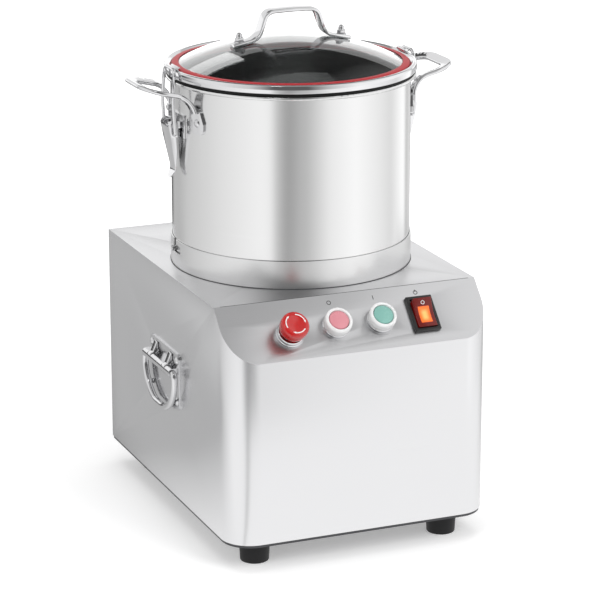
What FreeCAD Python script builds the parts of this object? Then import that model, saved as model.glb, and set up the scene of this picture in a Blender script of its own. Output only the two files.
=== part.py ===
"""Tabletop bowl cutter: a steel casing with a motor, a lift-off pot with knives, and a glass lid.

Frame: millimetres, +Z up, the operator's side faces -Y, origin on the table under the casing's middle.
"""
import FreeCAD, Part
import math
import os
from types import SimpleNamespace

import Sketcher
from FreeCAD import Placement, Rotation, Vector

os.makedirs("parts", exist_ok=True)
doc = FreeCAD.newDocument("bowl_cutter")

# Driving dimensions, each written once, in millimetres and degrees
DIMENSIONS = {
    # clearances
    "seat_gap": 0.3,
    "slide_gap": 0.4,
    "pin_gap": 0.06,
    # casing
    "casing_width": 290.0,
    "casing_depth": 376.0,
    "casing_height": 242.0,
    "front_corner": 31.8,
    "panel_run": 48.0,
    "panel_drop": 49.0,
    "sheet_wall": 1.5,
    "base_thick": 3.0,
    "base_inset": 1.0,
    "foot_tall": 27.0,
    "foot_wide": 16.5,
    "foot_taper": 1.5,
    "foot_from_side": 39.0,
    "foot_from_end": 38.0,
    "foot_screw": 3.0,
    # rear panel
    "rear_border": 16.0,
    "rear_lap": 9.0,
    "rear_thick": 1.2,
    "louvre_long": 62.0,
    "louvre_pitch": 16.0,
    "louvre_round": 7.0,
    "louvre_stand": 4.0,
    "louvre_first": 150.0,
    "gland_up": 58.0,
    "gland_bore": 4.3,
    "gland_stand": 14.0,
    # pot seat
    "pot_from_middle": 9.0,
    "collar_round": 127.9,
    "collar_tall": 29.5,
    "collar_wall": 1.3,
    "collar_flange": 12.0,
    "slot_wide": 8.0,
    "slot_at": 175.0,
    "slot_turn": 6.0,
    "stud_up": 20.0,
    "stud_round": 3.2,
    "stud_stand": 5.0,
    "slip_inner": 92.0,
    "slip_outer": 110.0,
    "slip_tall": 5.0,
    # pot
    "pot_wall": 1.5,
    "pot_floor": 3.0,
    "pot_tall": 196.2,
    "pot_corner": 8.0,
    "bead_stand": 5.2,
    "bead_tall": 4.0,
    "tube_bore": 14.0,
    "tube_wall": 2.0,
    "tube_tall": 75.0,
    # pot handles
    "grip_spread": 36.0,
    "grip_reach": 46.0,
    "grip_rise": 11.0,
    "grip_turn": 22.0,
    "grip_bend": 24.0,
    "grip_wide": 13.0,
    "grip_thick": 4.6,
    "grip_below_rim": 12.0,
    "foot_spread": 42.0,
    "foot_below_rim": 36.7,
    "foot_across": 19.0,
    "foot_upright": 24.0,
    "foot_sheet": 2.6,
    "rivet_round": 4.4,
    "rivet_head": 1.2,
    # latches
    "lever_pivot_out": 135.5,
    "lever_pivot_down": 44.5,
    "lever_wide": 25.0,
    "lever_tip_wide": 15.0,
    "lever_long": 44.0,
    "lever_round": 5.6,
    "lever_wall": 1.5,
    "lever_tongue": 13.0,
    "lever_flare": 4.5,
    "wire_round": 1.8,
    "wire_drop": 9.5,
    "wire_half": 16.4,
    "ear_thick": 1.8,
    "ear_half": 10.4,
    "pin_round": 1.5,
    # lid
    "lid_round": 132.3,
    "gasket_thick": 2.7,
    "rim_tall": 9.2,
    "rim_ledge": 1.2,
    "seal_outer": 125.0,
    "seal_inner": 117.4,
    "glass_edge": 119.7,
    "glass_thick": 4.0,
    "dome_round": 243.0,
    "catch_wide": 20.0,
    "catch_reach": 5.6,
    "catch_sheet": 2.2,
    "catch_lip": 1.6,
    "strap_half_top": 27.5,
    "strap_splay": 10.0,
    "strap_bow": 1.2,
    "strap_bend": 9.0,
    "strap_sweep": 16.0,
    "strap_tall": 56.0,
    "strap_foot_out": 66.0,
    "strap_wide": 15.0,
    "strap_thick": 3.0,
    "lid_bolt_out": 57.6,
    "lid_bolt": 2.5,
    # knife
    "blade_reach": 117.0,
    "blade_thick": 2.5,
    "blade_first": 6.0,
    "blade_gap": 34.0,
    "hub_core": 20.5,
    "hub_flange": 27.0,
    "hex_flat": 14.0,
    "hex_long": 24.0,
    # motor
    "motor_round": 70.0,
    "motor_wall": 6.0,
    "motor_long": 118.0,
    "shield_thick": 10.0,
    "flange_round": 84.0,
    "flange_thick": 9.0,
    "nose_round": 34.0,
    "nose_tall": 4.0,
    "shaft_round": 8.0,
    "bearing_round": 17.5,
    "bearing_tall": 12.0,
    "rotor_round": 42.0,
    "air_gap": 0.8,
    "rotor_long": 84.0,
    "fan_round": 54.0,
    "fan_tall": 14.0,
    # electrics beside the motor
    "capacitor_round": 20.0,
    "capacitor_tall": 70.0,
    "box_wide": 60.0,
    "box_deep": 40.0,
    "box_tall": 46.0,
    "electrics_inset": 14.0,
    "electrics_forward": 59.0,
    # controls
    "stop_head_at": -74.0,
    "stop_at": -22.3,
    "start_at": 26.7,
    "rocker_at": 74.5,
    "button_down": 36.2,
    "rocker_down": 35.5,
    "knob_down": 40.0,
    "button_hole": 11.3,
    "bezel_round": 14.8,
    "bezel_tall": 13.5,
    "button_round": 10.4,
    "button_travel": 3.0,
    "button_stem": 5.4,
    "shank_long": 22.0,
    "knob_round": 15.6,
    "knob_tall": 21.5,
    "knob_lift": 12.5,
    "knob_collar": 8.0,
    "rocker_wide": 21.0,
    "rocker_long": 32.0,
    "rocker_frame_wide": 29.0,
    "rocker_frame_long": 40.0,
    # side handles
    "bail_up": 142.0,
    "bail_stand": 7.0,
    "bail_round": 3.6,
    "bail_from_middle": 5.5,
    "bail_half": 45.5,
    "bail_drop": 46.0,
    "bail_corner": 40.0,
    "bail_elbow": 4.2,
    "sleeve_half": 41.0,
    "sleeve_wall": 1.4,
    "plate_half": 44.0,
    "plate_above": 20.0,
    "plate_below": 42.0,
    "plate_thick": 1.5,
}


class Size(float):
    """A number that remembers the spreadsheet formula it comes from."""

    def __new__(cls, value, formula):
        size = super().__new__(cls, value)
        size.formula = formula
        return size

    def __add__(self, other):
        return joined(self, "+", other, float(self) + float(other))

    def __radd__(self, other):
        return joined(other, "+", self, float(other) + float(self))

    def __sub__(self, other):
        return joined(self, "-", other, float(self) - float(other))

    def __rsub__(self, other):
        return joined(other, "-", self, float(other) - float(self))

    def __mul__(self, other):
        return joined(self, "*", other, float(self) * float(other))

    def __rmul__(self, other):
        return joined(other, "*", self, float(other) * float(self))

    def __truediv__(self, other):
        return joined(self, "/", other, float(self) / float(other))

    def __neg__(self):
        return joined(0.0, "-", self, -float(self))


def formula_of(value):
    """The spreadsheet words for a number or a Size."""
    return value.formula if isinstance(value, Size) else repr(float(value))


def joined(left, sign, right, value):
    """The Size of two numbers put together by one sign."""
    return Size(value, f"({formula_of(left)} {sign} {formula_of(right)})")


def root(size):
    """The square root of a Size."""
    return Size(math.sqrt(size), f"sqrt({formula_of(size)})")


sheet = doc.addObject("Spreadsheet::Sheet", "sizes")
for row, (alias, number) in enumerate(DIMENSIONS.items(), 1):
    sheet.set(f"A{row}", alias)
    sheet.set(f"B{row}", str(number))
    sheet.setAlias(f"B{row}", alias)
doc.recompute()
S = SimpleNamespace(**{alias: Size(sheet.get(alias), f"sizes.{alias}") for alias in DIMENSIONS})

# Levels and places that follow from the driving dimensions
casing_floor = S.foot_tall + S.base_thick
casing_top = casing_floor + S.casing_height
front_face = S.casing_depth / -2
rear_face = S.casing_depth / 2
side_face = S.casing_width / 2
panel_tilt = math.degrees(math.atan2(S.panel_drop, S.panel_run))
panel_slope = root(S.panel_run * S.panel_run + S.panel_drop * S.panel_drop)
pot_y = S.pot_from_middle
pot_round = S.collar_round - S.collar_wall - S.slide_gap
pot_bottom = casing_top + S.slip_tall + S.seat_gap
pot_rim = pot_bottom + S.pot_tall
pot_inside = pot_round - S.pot_wall
pot_deck = pot_bottom + S.pot_floor
tube_round = S.tube_bore + S.tube_wall
tube_top = pot_deck + S.tube_tall
gasket_foot = pot_rim + S.seat_gap
rim_foot = gasket_foot + S.gasket_thick
rim_top = rim_foot + S.rim_tall
pivot_z = pot_rim - S.lever_pivot_down
shell_under = casing_top - S.sheet_wall
nodes = []


def keep(item, label):
    """Marks an object as a finished piece and gives it the name of its file."""
    item.Label = label
    nodes.append(item)
    return item


def bind(item, path, size):
    """Ties one property to the sheet, or sets it where the number is a plain one."""
    if isinstance(size, Size):
        item.setExpression(path, size.formula)
    else:
        setattr(item, path, size)


def place(item, x=0.0, y=0.0, z=0.0, turn=None):
    """Puts an object at a place that follows the sheet."""
    item.Placement = Placement(Vector(x, y, z), turn or Rotation())
    for axis, size in zip("xyz", (x, y, z)):
        if isinstance(size, Size):
            item.setExpression(f"Placement.Base.{axis}", size.formula)
    return item


def cylinder(name, radius, height, **where):
    """A round bar that stands on its place."""
    item = doc.addObject("Part::Cylinder", name)
    bind(item, "Radius", radius)
    bind(item, "Height", height)
    return place(item, **where)


def cone(name, low, high, height, **where):
    """A tapered round bar."""
    item = doc.addObject("Part::Cone", name)
    bind(item, "Radius1", low)
    bind(item, "Radius2", high)
    bind(item, "Height", height)
    return place(item, **where)


def block(name, long, wide, tall, x=0.0, y=0.0, z=0.0, turn=None):
    """A box centred on x and y that stands on z."""
    item = doc.addObject("Part::Box", name)
    bind(item, "Length", long)
    bind(item, "Width", wide)
    bind(item, "Height", tall)
    return place(item, x=x - long / 2, y=y - wide / 2, z=z, turn=turn)


def hexagon(name, flat, height, **where):
    """A six-sided bar, given across its flats."""
    item = doc.addObject("Part::Prism", name)
    item.Polygon = 6
    bind(item, "Circumradius", flat / math.sqrt(3.0))
    bind(item, "Height", height)
    return place(item, **where)


def fuse(name, *items):
    """One solid from several."""
    item = doc.addObject("Part::MultiFuse", name)
    item.Shapes = list(items)
    return item


def cut(name, base, *tools):
    """The base less its tools."""
    item = doc.addObject("Part::Cut", name)
    item.Base = base
    item.Tool = tools[0] if len(tools) == 1 else fuse(name + "_tools", *tools)
    return item


def group(name, *items):
    """Several separate solids that share one node."""
    item = doc.addObject("Part::Compound", name)
    item.Links = list(items)
    return item


def shaped(name, shape):
    """A piece whose shape is worked out by code."""
    item = doc.addObject("Part::Feature", name)
    item.Shape = shape
    return item


def copies(name, source, spots):
    """Separate copies of one piece, each at its own placement."""
    doc.recompute()
    return shaped(name, Part.makeCompound([source.Shape.transformed(spot.toMatrix()) for spot in spots]))


def half_turned(name, source, y=pot_y):
    """The same piece on the other side, turned about an upright axis in the middle plane."""
    doc.recompute()
    middle = Vector(0, y, 0)
    turned = source.Shape.copy()
    turned.rotate(middle, Vector(0, 0, 1), 180)
    return shaped(name, turned)


def origin_plane(body, role):
    """One of a body's own origin planes."""
    return next(plane for plane in body.Origin.OriginFeatures if plane.Role == role)


def bowed(start, end, radius):
    """The middle point of the arc from start to end; a positive radius bulges to the right of the way."""
    way = end - start
    half = way.Length / 2
    side = Vector(way.y, -way.x, 0).normalize()
    rise = abs(radius) - math.sqrt(radius * radius - half * half)
    return (start + end) / 2 + side * math.copysign(rise, radius)


def draw(sketch, outline):
    """Closes an outline of (across, up) corners; a third number bows the run to the next corner."""
    count = len(outline)
    first = []
    last = []
    for index, corner in enumerate(outline):
        after = outline[(index + 1) % count]
        start = Vector(corner[0], corner[1], 0)
        end = Vector(after[0], after[1], 0)
        bow = corner[2] if len(corner) > 2 else None
        if bow is None:
            sketch.addGeometry(Part.LineSegment(start, end), False)
        else:
            sketch.addGeometry(Part.Arc(start, bowed(start, end, bow), end), False)
        backwards = bow is not None and bow < 0
        first.append(2 if backwards else 1)
        last.append(1 if backwards else 2)
    for index, corner in enumerate(outline):
        before = index - 1 if index else count - 1
        sketch.addConstraint(Sketcher.Constraint("Coincident", before, last[before], index, first[index]))
        for kind, axis, size in (("DistanceX", -2, corner[0]), ("DistanceY", -1, corner[1])):
            if float(size) == 0.0:
                sketch.addConstraint(Sketcher.Constraint("PointOnObject", index, first[index], axis))
                continue
            spot = Sketcher.Constraint(kind, -1, 1, index, first[index], float(size))
            number = sketch.addConstraint(spot)
            if isinstance(size, Size):
                sketch.setExpression(f"Constraints[{number}]", size.formula)
        if len(corner) > 2:
            number = sketch.addConstraint(Sketcher.Constraint("Radius", index, abs(float(corner[2]))))
            if isinstance(corner[2], Size):
                sketch.setExpression(f"Constraints[{number}]", f"abs({corner[2].formula})")


def new_body(name):
    """An empty body."""
    return doc.addObject("PartDesign::Body", name + "_body")


def sketch_on(body, role, outline):
    """A sketch of one outline on one of the body's own planes."""
    sketch = body.newObject("Sketcher::SketchObject", body.Name + "_outline")
    sketch.AttachmentSupport = (origin_plane(body, role), [""])
    sketch.MapMode = "FlatFace"
    draw(sketch, outline)
    return sketch


def pad(name, role, outline, length, middle=False):
    """A body with one outline pushed out into a solid."""
    body = new_body(name)
    feature = body.newObject("PartDesign::Pad", name + "_pad")
    feature.Profile = sketch_on(body, role, outline)
    bind(feature, "Length", length)
    feature.Midplane = middle
    doc.recompute()
    return body


def lathe(name, outline, y=0.0):
    """A body turned about an upright axis from an outline of (radius, height) corners."""
    body = new_body(name)
    feature = body.newObject("PartDesign::Revolution", name + "_turned")
    sketch = sketch_on(body, "XZ_Plane", outline)
    feature.Profile = sketch
    feature.ReferenceAxis = (sketch, ["V_Axis"])
    feature.Angle = 360
    place(body, y=y)
    doc.recompute()
    return body


def edges_where(shape, wanted):
    """The names of the edges that pass a test."""
    return [f"Edge{number}" for number, edge in enumerate(shape.Edges, 1) if wanted(edge)]


def ring_at(radius, level):
    """A test for the round edge of one radius at one height, in the body's own frame."""

    def wanted(edge):
        curve = edge.Curve
        if not isinstance(curve, Part.Circle):
            return False
        return abs(curve.Radius - radius) < 0.02 and abs(curve.Center.z - level) < 0.02

    return wanted


def soften(body, radius, *tests):
    """Rounds the edges of a body that pass any of the tests."""
    tip = body.Tip
    names = edges_where(tip.Shape, lambda edge: any(test(edge) for test in tests))
    if not names:
        raise RuntimeError(f"{body.Name}: no edge to round")
    feature = body.newObject("PartDesign::Fillet", tip.Name + "_rounded")
    feature.Base = (tip, names)
    bind(feature, "Radius", radius)
    doc.recompute()
    return body


def bent_path(points, radii):
    """A wire of straight runs joined by tangent arcs, one radius for each inner point."""
    edges = []
    start = points[0]
    for before, corner, after, radius in zip(points, points[1:], points[2:], radii):
        back = (before - corner).normalize()
        ahead = (after - corner).normalize()
        half = back.getAngle(ahead) / 2
        reach = radius / math.tan(half)
        entry = corner + back * reach
        leave = corner + ahead * reach
        middle = (back + ahead).normalize()
        crown = corner + middle * (radius / math.sin(half) - radius)
        if (entry - start).Length > 1e-6:
            edges.append(Part.LineSegment(start, entry).toShape())
        edges.append(Part.Arc(entry, crown, leave).toShape())
        start = leave
    edges.append(Part.LineSegment(start, points[-1]).toShape())
    return Part.Wire(edges)


def swept(path, section):
    """A solid of one closed section carried along a path."""
    shell = path.makePipeShell([section], True, False)
    return shell if shell.ShapeType == "Solid" else Part.Solid(shell)


def round_section(at, along, radius):
    """A circle square to a path."""
    return Part.Wire([Part.Circle(at, along, radius).toShape()])


def flat_section(at, along, across, wide, thick):
    """A rectangle square to a path, with its wide side along a given direction."""
    other = along.cross(across).normalize()
    side = across.normalize() * (wide / 2)
    depth = other * (thick / 2)
    corners = [at + side + depth, at - side + depth, at - side - depth, at + side - depth]
    return Part.makePolygon(corners + corners[:1])


def oval_section(at, along, across, wide, thick):
    """A rectangle with half-round ends, square to a path."""
    up = along.cross(across).normalize() * (thick / 2)
    side = across.normalize() * ((wide - thick) / 2)
    bulge = across.normalize() * (wide / 2)
    runs = [
        Part.LineSegment(at + side + up, at - side + up).toShape(),
        Part.Arc(at - side + up, at - bulge, at - side - up).toShape(),
        Part.LineSegment(at - side - up, at + side - up).toShape(),
        Part.Arc(at + side - up, at + bulge, at + side + up).toShape(),
    ]
    return Part.Wire(runs)


# Casing: a folded shell with a raked control panel and a window at the back


def casing_block(name, inset, bottom):
    """The casing's outer form, drawn in by one wall."""
    half = side_face - inset
    front = front_face + inset
    rear = rear_face - inset
    top = casing_top - inset
    plan = [(0 - half, front), (half, front), (half, rear), (0 - half, rear)]
    body = new_body(name)
    base = body.newObject("PartDesign::Pad", name + "_pad")
    base.Profile = sketch_on(body, "XY_Plane", plan)
    bind(base, "Length", top - bottom)
    place(body, z=bottom)
    doc.recompute()
    corner = S.front_corner - inset

    def upright(edge):
        middle = edge.CenterOfMass
        return edge.BoundBox.ZLength > 10 and middle.y < 0

    soften(body, corner, upright)
    shift = inset * ((panel_slope - S.panel_run) / S.panel_drop)
    rake_low = front_face + inset
    rake_top = casing_top - inset
    ratio = S.panel_drop / S.panel_run
    crease = front_face + S.panel_run + shift
    edge_level = rake_top - (crease - rake_low) * ratio
    wedge = [(rake_low, edge_level - bottom), (crease, rake_top - bottom), (rake_low, rake_top - bottom)]
    rake = body.newObject("PartDesign::Pocket", name + "_rake")
    rake.Profile = sketch_on(body, "YZ_Plane", wedge)
    rake.Midplane = True
    bind(rake, "Length", S.casing_width + 2)
    doc.recompute()
    return body


def on_panel(x, down, out=0.0):
    """The placement of a control: across the panel, down from its top crease, and out from its face."""
    share = down / panel_slope
    rise = S.panel_run / panel_slope
    lean = S.panel_drop / panel_slope
    y = front_face + S.panel_run - S.panel_run * share - lean * out
    z = casing_top - S.panel_drop * share + rise * out
    return {"x": x, "y": y, "z": z, "turn": Rotation(Vector(1, 0, 0), panel_tilt)}


control_places = {
    "knob": (S.stop_head_at, S.knob_down),
    "stop": (S.stop_at, S.button_down),
    "start": (S.start_at, S.button_down),
    "rocker": (S.rocker_at, S.rocker_down),
}


def panel_holes():
    """The holes that the controls pass through."""
    depth = S.sheet_wall * 6
    holes = []
    for name in ("knob", "stop", "start"):
        x, down = control_places[name]
        where = on_panel(x, down, S.sheet_wall * -3)
        holes.append(cylinder(name + "_hole", S.button_hole, depth, **where))
    x, down = control_places["rocker"]
    hole = doc.addObject("Part::Box", "rocker_hole")
    wide = S.rocker_wide + 4
    long = S.rocker_long + 4
    bind(hole, "Length", wide)
    bind(hole, "Width", long)
    bind(hole, "Height", depth)
    where = on_panel(x - wide / 2, down + long / 2, S.sheet_wall * -3)
    holes.append(place(hole, **where))
    return holes


def build_casing():
    """The shell with its window, motor opening and control holes."""
    outer = casing_block("casing_outer", 0.0, casing_floor)
    inner = casing_block("casing_inner", S.sheet_wall, casing_floor - 1)
    wide = S.casing_width - S.rear_border * 2
    tall = S.casing_height - S.rear_border * 2
    window = block("rear_window", wide, S.sheet_wall * 4, tall, y=rear_face, z=casing_floor + S.rear_border)
    reach = S.sheet_wall * 4
    opening = cylinder("motor_opening", S.nose_round + 1, reach, y=pot_y, z=casing_top - reach / 2)
    keep(cut("casing_shell", outer, inner, window, opening, *panel_holes()), "casing_shell")
    plate_half = side_face - S.base_inset
    plate_front = front_face + S.base_inset
    plate_rear = rear_face - S.base_inset
    plan = [
        (0 - plate_half, plate_front),
        (plate_half, plate_front),
        (plate_half, plate_rear),
        (0 - plate_half, plate_rear),
    ]
    plate = pad("base_plate", "XY_Plane", plan, S.base_thick)

    def front_upright(edge):
        return edge.BoundBox.ZLength > 1 and edge.CenterOfMass.y < 0

    soften(plate, S.front_corner - S.base_inset, front_upright)
    place(plate, z=S.foot_tall)
    holes = []
    hole = S.foot_screw + S.seat_gap
    deep = S.base_thick * 3
    for number, (x, y) in enumerate(foot_spots()):
        holes.append(cylinder(f"foot_hole_{number}", hole, deep, x=x, y=y, z=S.foot_tall - S.base_thick))
    keep(cut("base_plate", plate, *holes), "base_plate")


def foot_spots():
    """Where the four feet stand."""
    across = side_face - S.foot_from_side
    along = rear_face - S.foot_from_end
    return [(x, y) for x in (0 - across, across) for y in (0 - along, along)]


def build_feet():
    """Four rubber feet, each held by a screw from below."""
    recess = S.foot_screw * 2
    foot = lathe("foot", [
        (S.foot_screw + S.seat_gap, S.foot_tall / 2),
        (recess, S.foot_tall / 2),
        (recess, 0.0),
        (S.foot_wide - S.foot_taper, 0.0),
        (S.foot_wide, S.foot_tall),
        (S.foot_screw + S.seat_gap, S.foot_tall),
    ])
    soften(foot, 1.2, ring_at(S.foot_wide - S.foot_taper, 0.0))
    screw = lathe("foot_screw", [
        (0.0, S.foot_tall / 2 - 3),
        (recess - 0.8, S.foot_tall / 2 - 3),
        (recess - 0.8, S.foot_tall / 2),
        (S.foot_screw, S.foot_tall / 2),
        (S.foot_screw, casing_floor + 6),
        (0.0, casing_floor + 6),
    ])
    nut = cut(
        "foot_nut",
        hexagon("foot_nut_bar", S.foot_screw * 3, 4.0, z=casing_floor),
        cylinder("foot_nut_bore", S.foot_screw + S.pin_gap, 8.0, z=casing_floor - 2),
    )
    spots = [Placement(Vector(x, y, 0), Rotation()) for x, y in foot_spots()]
    keep(copies("rubber_feet", foot, spots), "rubber_feet")
    keep(copies("foot_screws", group("foot_fixing", screw, nut), spots), "foot_screws")


def build_rear():
    """The louvred rear panel with its screws and the cable gland."""
    wide = S.casing_width - (S.rear_border - S.rear_lap) * 2
    tall = S.casing_height - (S.rear_border - S.rear_lap) * 2
    low = casing_floor + S.rear_border - S.rear_lap
    out = rear_face + S.rear_thick
    sheet_box = block("rear_sheet", wide, S.rear_thick, tall, y=rear_face + S.rear_thick / 2, z=low)
    hoods = []
    slots = []
    sink = S.louvre_round - S.louvre_stand
    lying = Rotation(Vector(0, 1, 0), 90)
    for side in (-1, 1):
        for step in range(5):
            name = f"louvre_{'left' if side < 0 else 'right'}_{step}"
            middle = S.louvre_long * (0.62 * side)
            level = casing_floor + S.louvre_first - S.louvre_pitch * step
            start = middle - S.louvre_long / 2
            deep = out - sink
            hood = cylinder(name, S.louvre_round, S.louvre_long, x=start, y=deep, z=level, turn=lying)
            long = S.louvre_long - S.rear_thick * 2
            inside = S.louvre_round - S.rear_thick
            hollow_start = start + S.rear_thick
            hollow = cylinder(name + "_hollow", inside, long, x=hollow_start, y=deep, z=level, turn=lying)
            mouth_size = (long, S.louvre_round * 2, S.louvre_round)
            mouth = block(name + "_mouth", *mouth_size, x=middle, y=deep, z=level - S.louvre_round)
            hoods.append(hood)
            slots.extend((hollow, mouth))
    reach = S.louvre_long * 3
    depth = S.louvre_round * 3
    behind = block("louvre_behind", reach, depth, S.casing_height, y=rear_face - depth / 2, z=casing_floor)
    lower = []
    for number, hood in enumerate(hoods):
        skirt = block(f"louvre_skirt_{number}", S.louvre_long + 2, S.louvre_round * 2, S.louvre_round,
                      x=S.louvre_long * (0.62 if number > 4 else -0.62), y=out + S.louvre_round,
                      z=casing_floor + S.louvre_first - S.louvre_pitch * (number % 5) - S.louvre_round)
        lower.append(skirt)
    pressed = cut("rear_pressed", fuse("rear_raised", sheet_box, *hoods), behind, *slots, *lower)
    gland_x = side_face - S.rear_border * 3
    gland_z = casing_floor + S.gland_up
    facing = Rotation(Vector(1, 0, 0), -90)
    shank = S.gland_bore * 2
    start = rear_face - S.rear_thick * 2
    long = S.rear_thick * 6
    loose = shank + S.seat_gap
    gland_hole = cylinder("gland_hole", loose, long, x=gland_x, y=start, z=gland_z, turn=facing)
    screw_holes = []
    screws = []
    reach_x = wide / 2 - S.rear_lap / 2
    for side in (-1, 1):
        for level in (0.04, 0.5, 0.96):
            name = f"rear_screw_{'left' if side < 0 else 'right'}_{round(level * 100)}"
            x = reach_x * side
            z = low + tall * level
            y = out - S.rear_thick - S.sheet_wall - 2
            shaft = cylinder(name, 1.6, S.rear_thick + S.sheet_wall + 2.3, x=x, y=y, z=z, turn=facing)
            head = cone(name + "_head", 3.4, 2.4, 1.8, x=x, y=out, z=z, turn=facing)
            screws.append(fuse(name + "_whole", shaft, head))
            loose = 1.6 + S.seat_gap
            screw_holes.append(cylinder(name + "_hole", loose, 8.0, x=x, y=y - 2, z=z, turn=facing))
    keep(cut("rear_panel", pressed, gland_hole, *screw_holes), "rear_panel")
    keep(group("rear_panel_screws", *screws), "rear_panel_screws")
    casing = next(item for item in nodes if item.Label == "casing_shell")
    casing.Tool.Shapes = casing.Tool.Shapes + screw_holes
    wall = S.gland_bore + 1.6
    body = cylinder("gland_shank", shank, 12.0, x=gland_x, y=rear_face - 6, z=gland_z, turn=facing)
    nut_outer = hexagon("gland_hex", shank * 2 + 4, 6.0, x=gland_x, y=out, z=gland_z, turn=facing)
    rest = S.gland_stand - 6
    dome = cone("gland_dome", shank + 1, wall, rest, x=gland_x, y=out + 6, z=gland_z, turn=facing)
    lock = hexagon("gland_lock", shank * 2 + 4, 3.0, x=gland_x, y=rear_face - 3, z=gland_z, turn=facing)
    bore = cylinder("gland_way", S.gland_bore, 60.0, x=gland_x, y=rear_face - 20, z=gland_z, turn=facing)
    keep(cut("cable_gland", fuse("gland_whole", body, nut_outer, dome, lock), bore), "cable_gland")


# Pot seat: collar with its two hooked slots, and the slip ring


def build_seat():
    """The collar that the pot drops into, its screws, and the ring that the pot turns on."""
    inner = S.collar_round - S.collar_wall
    foot_inner = inner - S.collar_flange
    ring = lathe("collar", [
        (foot_inner, casing_top),
        (S.collar_round, casing_top),
        (S.collar_round, casing_top + S.collar_tall),
        (inner, casing_top + S.collar_tall),
        (inner, casing_top + S.sheet_wall),
        (foot_inner, casing_top + S.sheet_wall),
    ], y=pot_y)
    tools = []
    level = casing_top + S.stud_up - S.slot_wide / 2
    for number, side in enumerate((0, 180)):
        angle = math.radians(S.slot_at + side)
        turn = Rotation(Vector(0, 0, 1), S.slot_at + side)
        leg = doc.addObject("Part::Box", f"slot_leg_{number}")
        bind(leg, "Length", S.collar_wall * 4)
        bind(leg, "Width", S.slot_wide)
        bind(leg, "Height", S.collar_tall)
        near = S.collar_round - S.collar_wall * 2
        half = S.slot_wide / 2
        x = near * math.cos(angle) + half * math.sin(angle)
        y = pot_y + near * math.sin(angle) - half * math.cos(angle)
        tools.append(place(leg, x=x, y=y, z=level, turn=turn))
        hook = cylinder(f"slot_hook_{number}", S.collar_round + 2, S.slot_wide, y=pot_y, z=level, turn=turn)
        hook.Angle = S.slot_turn + math.degrees(S.slot_wide / 2 / S.collar_round)
        tools.append(hook)
    spots = []
    holes = []
    screw_ring = inner - S.collar_flange / 2 - 0.6
    for quarter in range(4):
        angle = math.radians(45 + 90 * quarter)
        x = screw_ring * math.cos(angle)
        y = pot_y + screw_ring * math.sin(angle)
        spots.append((x, y))
        holes.append(cylinder(f"collar_hole_{quarter}", 2.0 + S.seat_gap, 12.0, x=x, y=y, z=casing_top - 6))
    keep(cut("bowl_collar", ring, *tools, *holes), "bowl_collar")
    casing = next(item for item in nodes if item.Label == "casing_shell")
    casing.Tool.Shapes = casing.Tool.Shapes + holes
    top = casing_top + S.sheet_wall
    screw = lathe("collar_screw", [
        (0.0, casing_top - 5),
        (2.0, casing_top - 5),
        (2.0, top),
        (3.8, top),
        (3.4, top + 1.8),
        (0.0, top + 2.2),
    ])
    places = [Placement(Vector(x, y, 0), Rotation()) for x, y in spots]
    keep(copies("collar_screws", screw, places), "collar_screws")
    slip = lathe("slip", [
        (S.slip_inner, casing_top + S.seat_gap),
        (S.slip_outer, casing_top + S.seat_gap),
        (S.slip_outer, casing_top + S.slip_tall),
        (S.slip_inner, casing_top + S.slip_tall),
    ], y=pot_y)
    crown = casing_top + S.slip_tall
    soften(slip, 1.0, ring_at(S.slip_outer, crown), ring_at(S.slip_inner, crown))
    keep(slip, "slip_ring")


# Motor, hung under the casing's top


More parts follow.
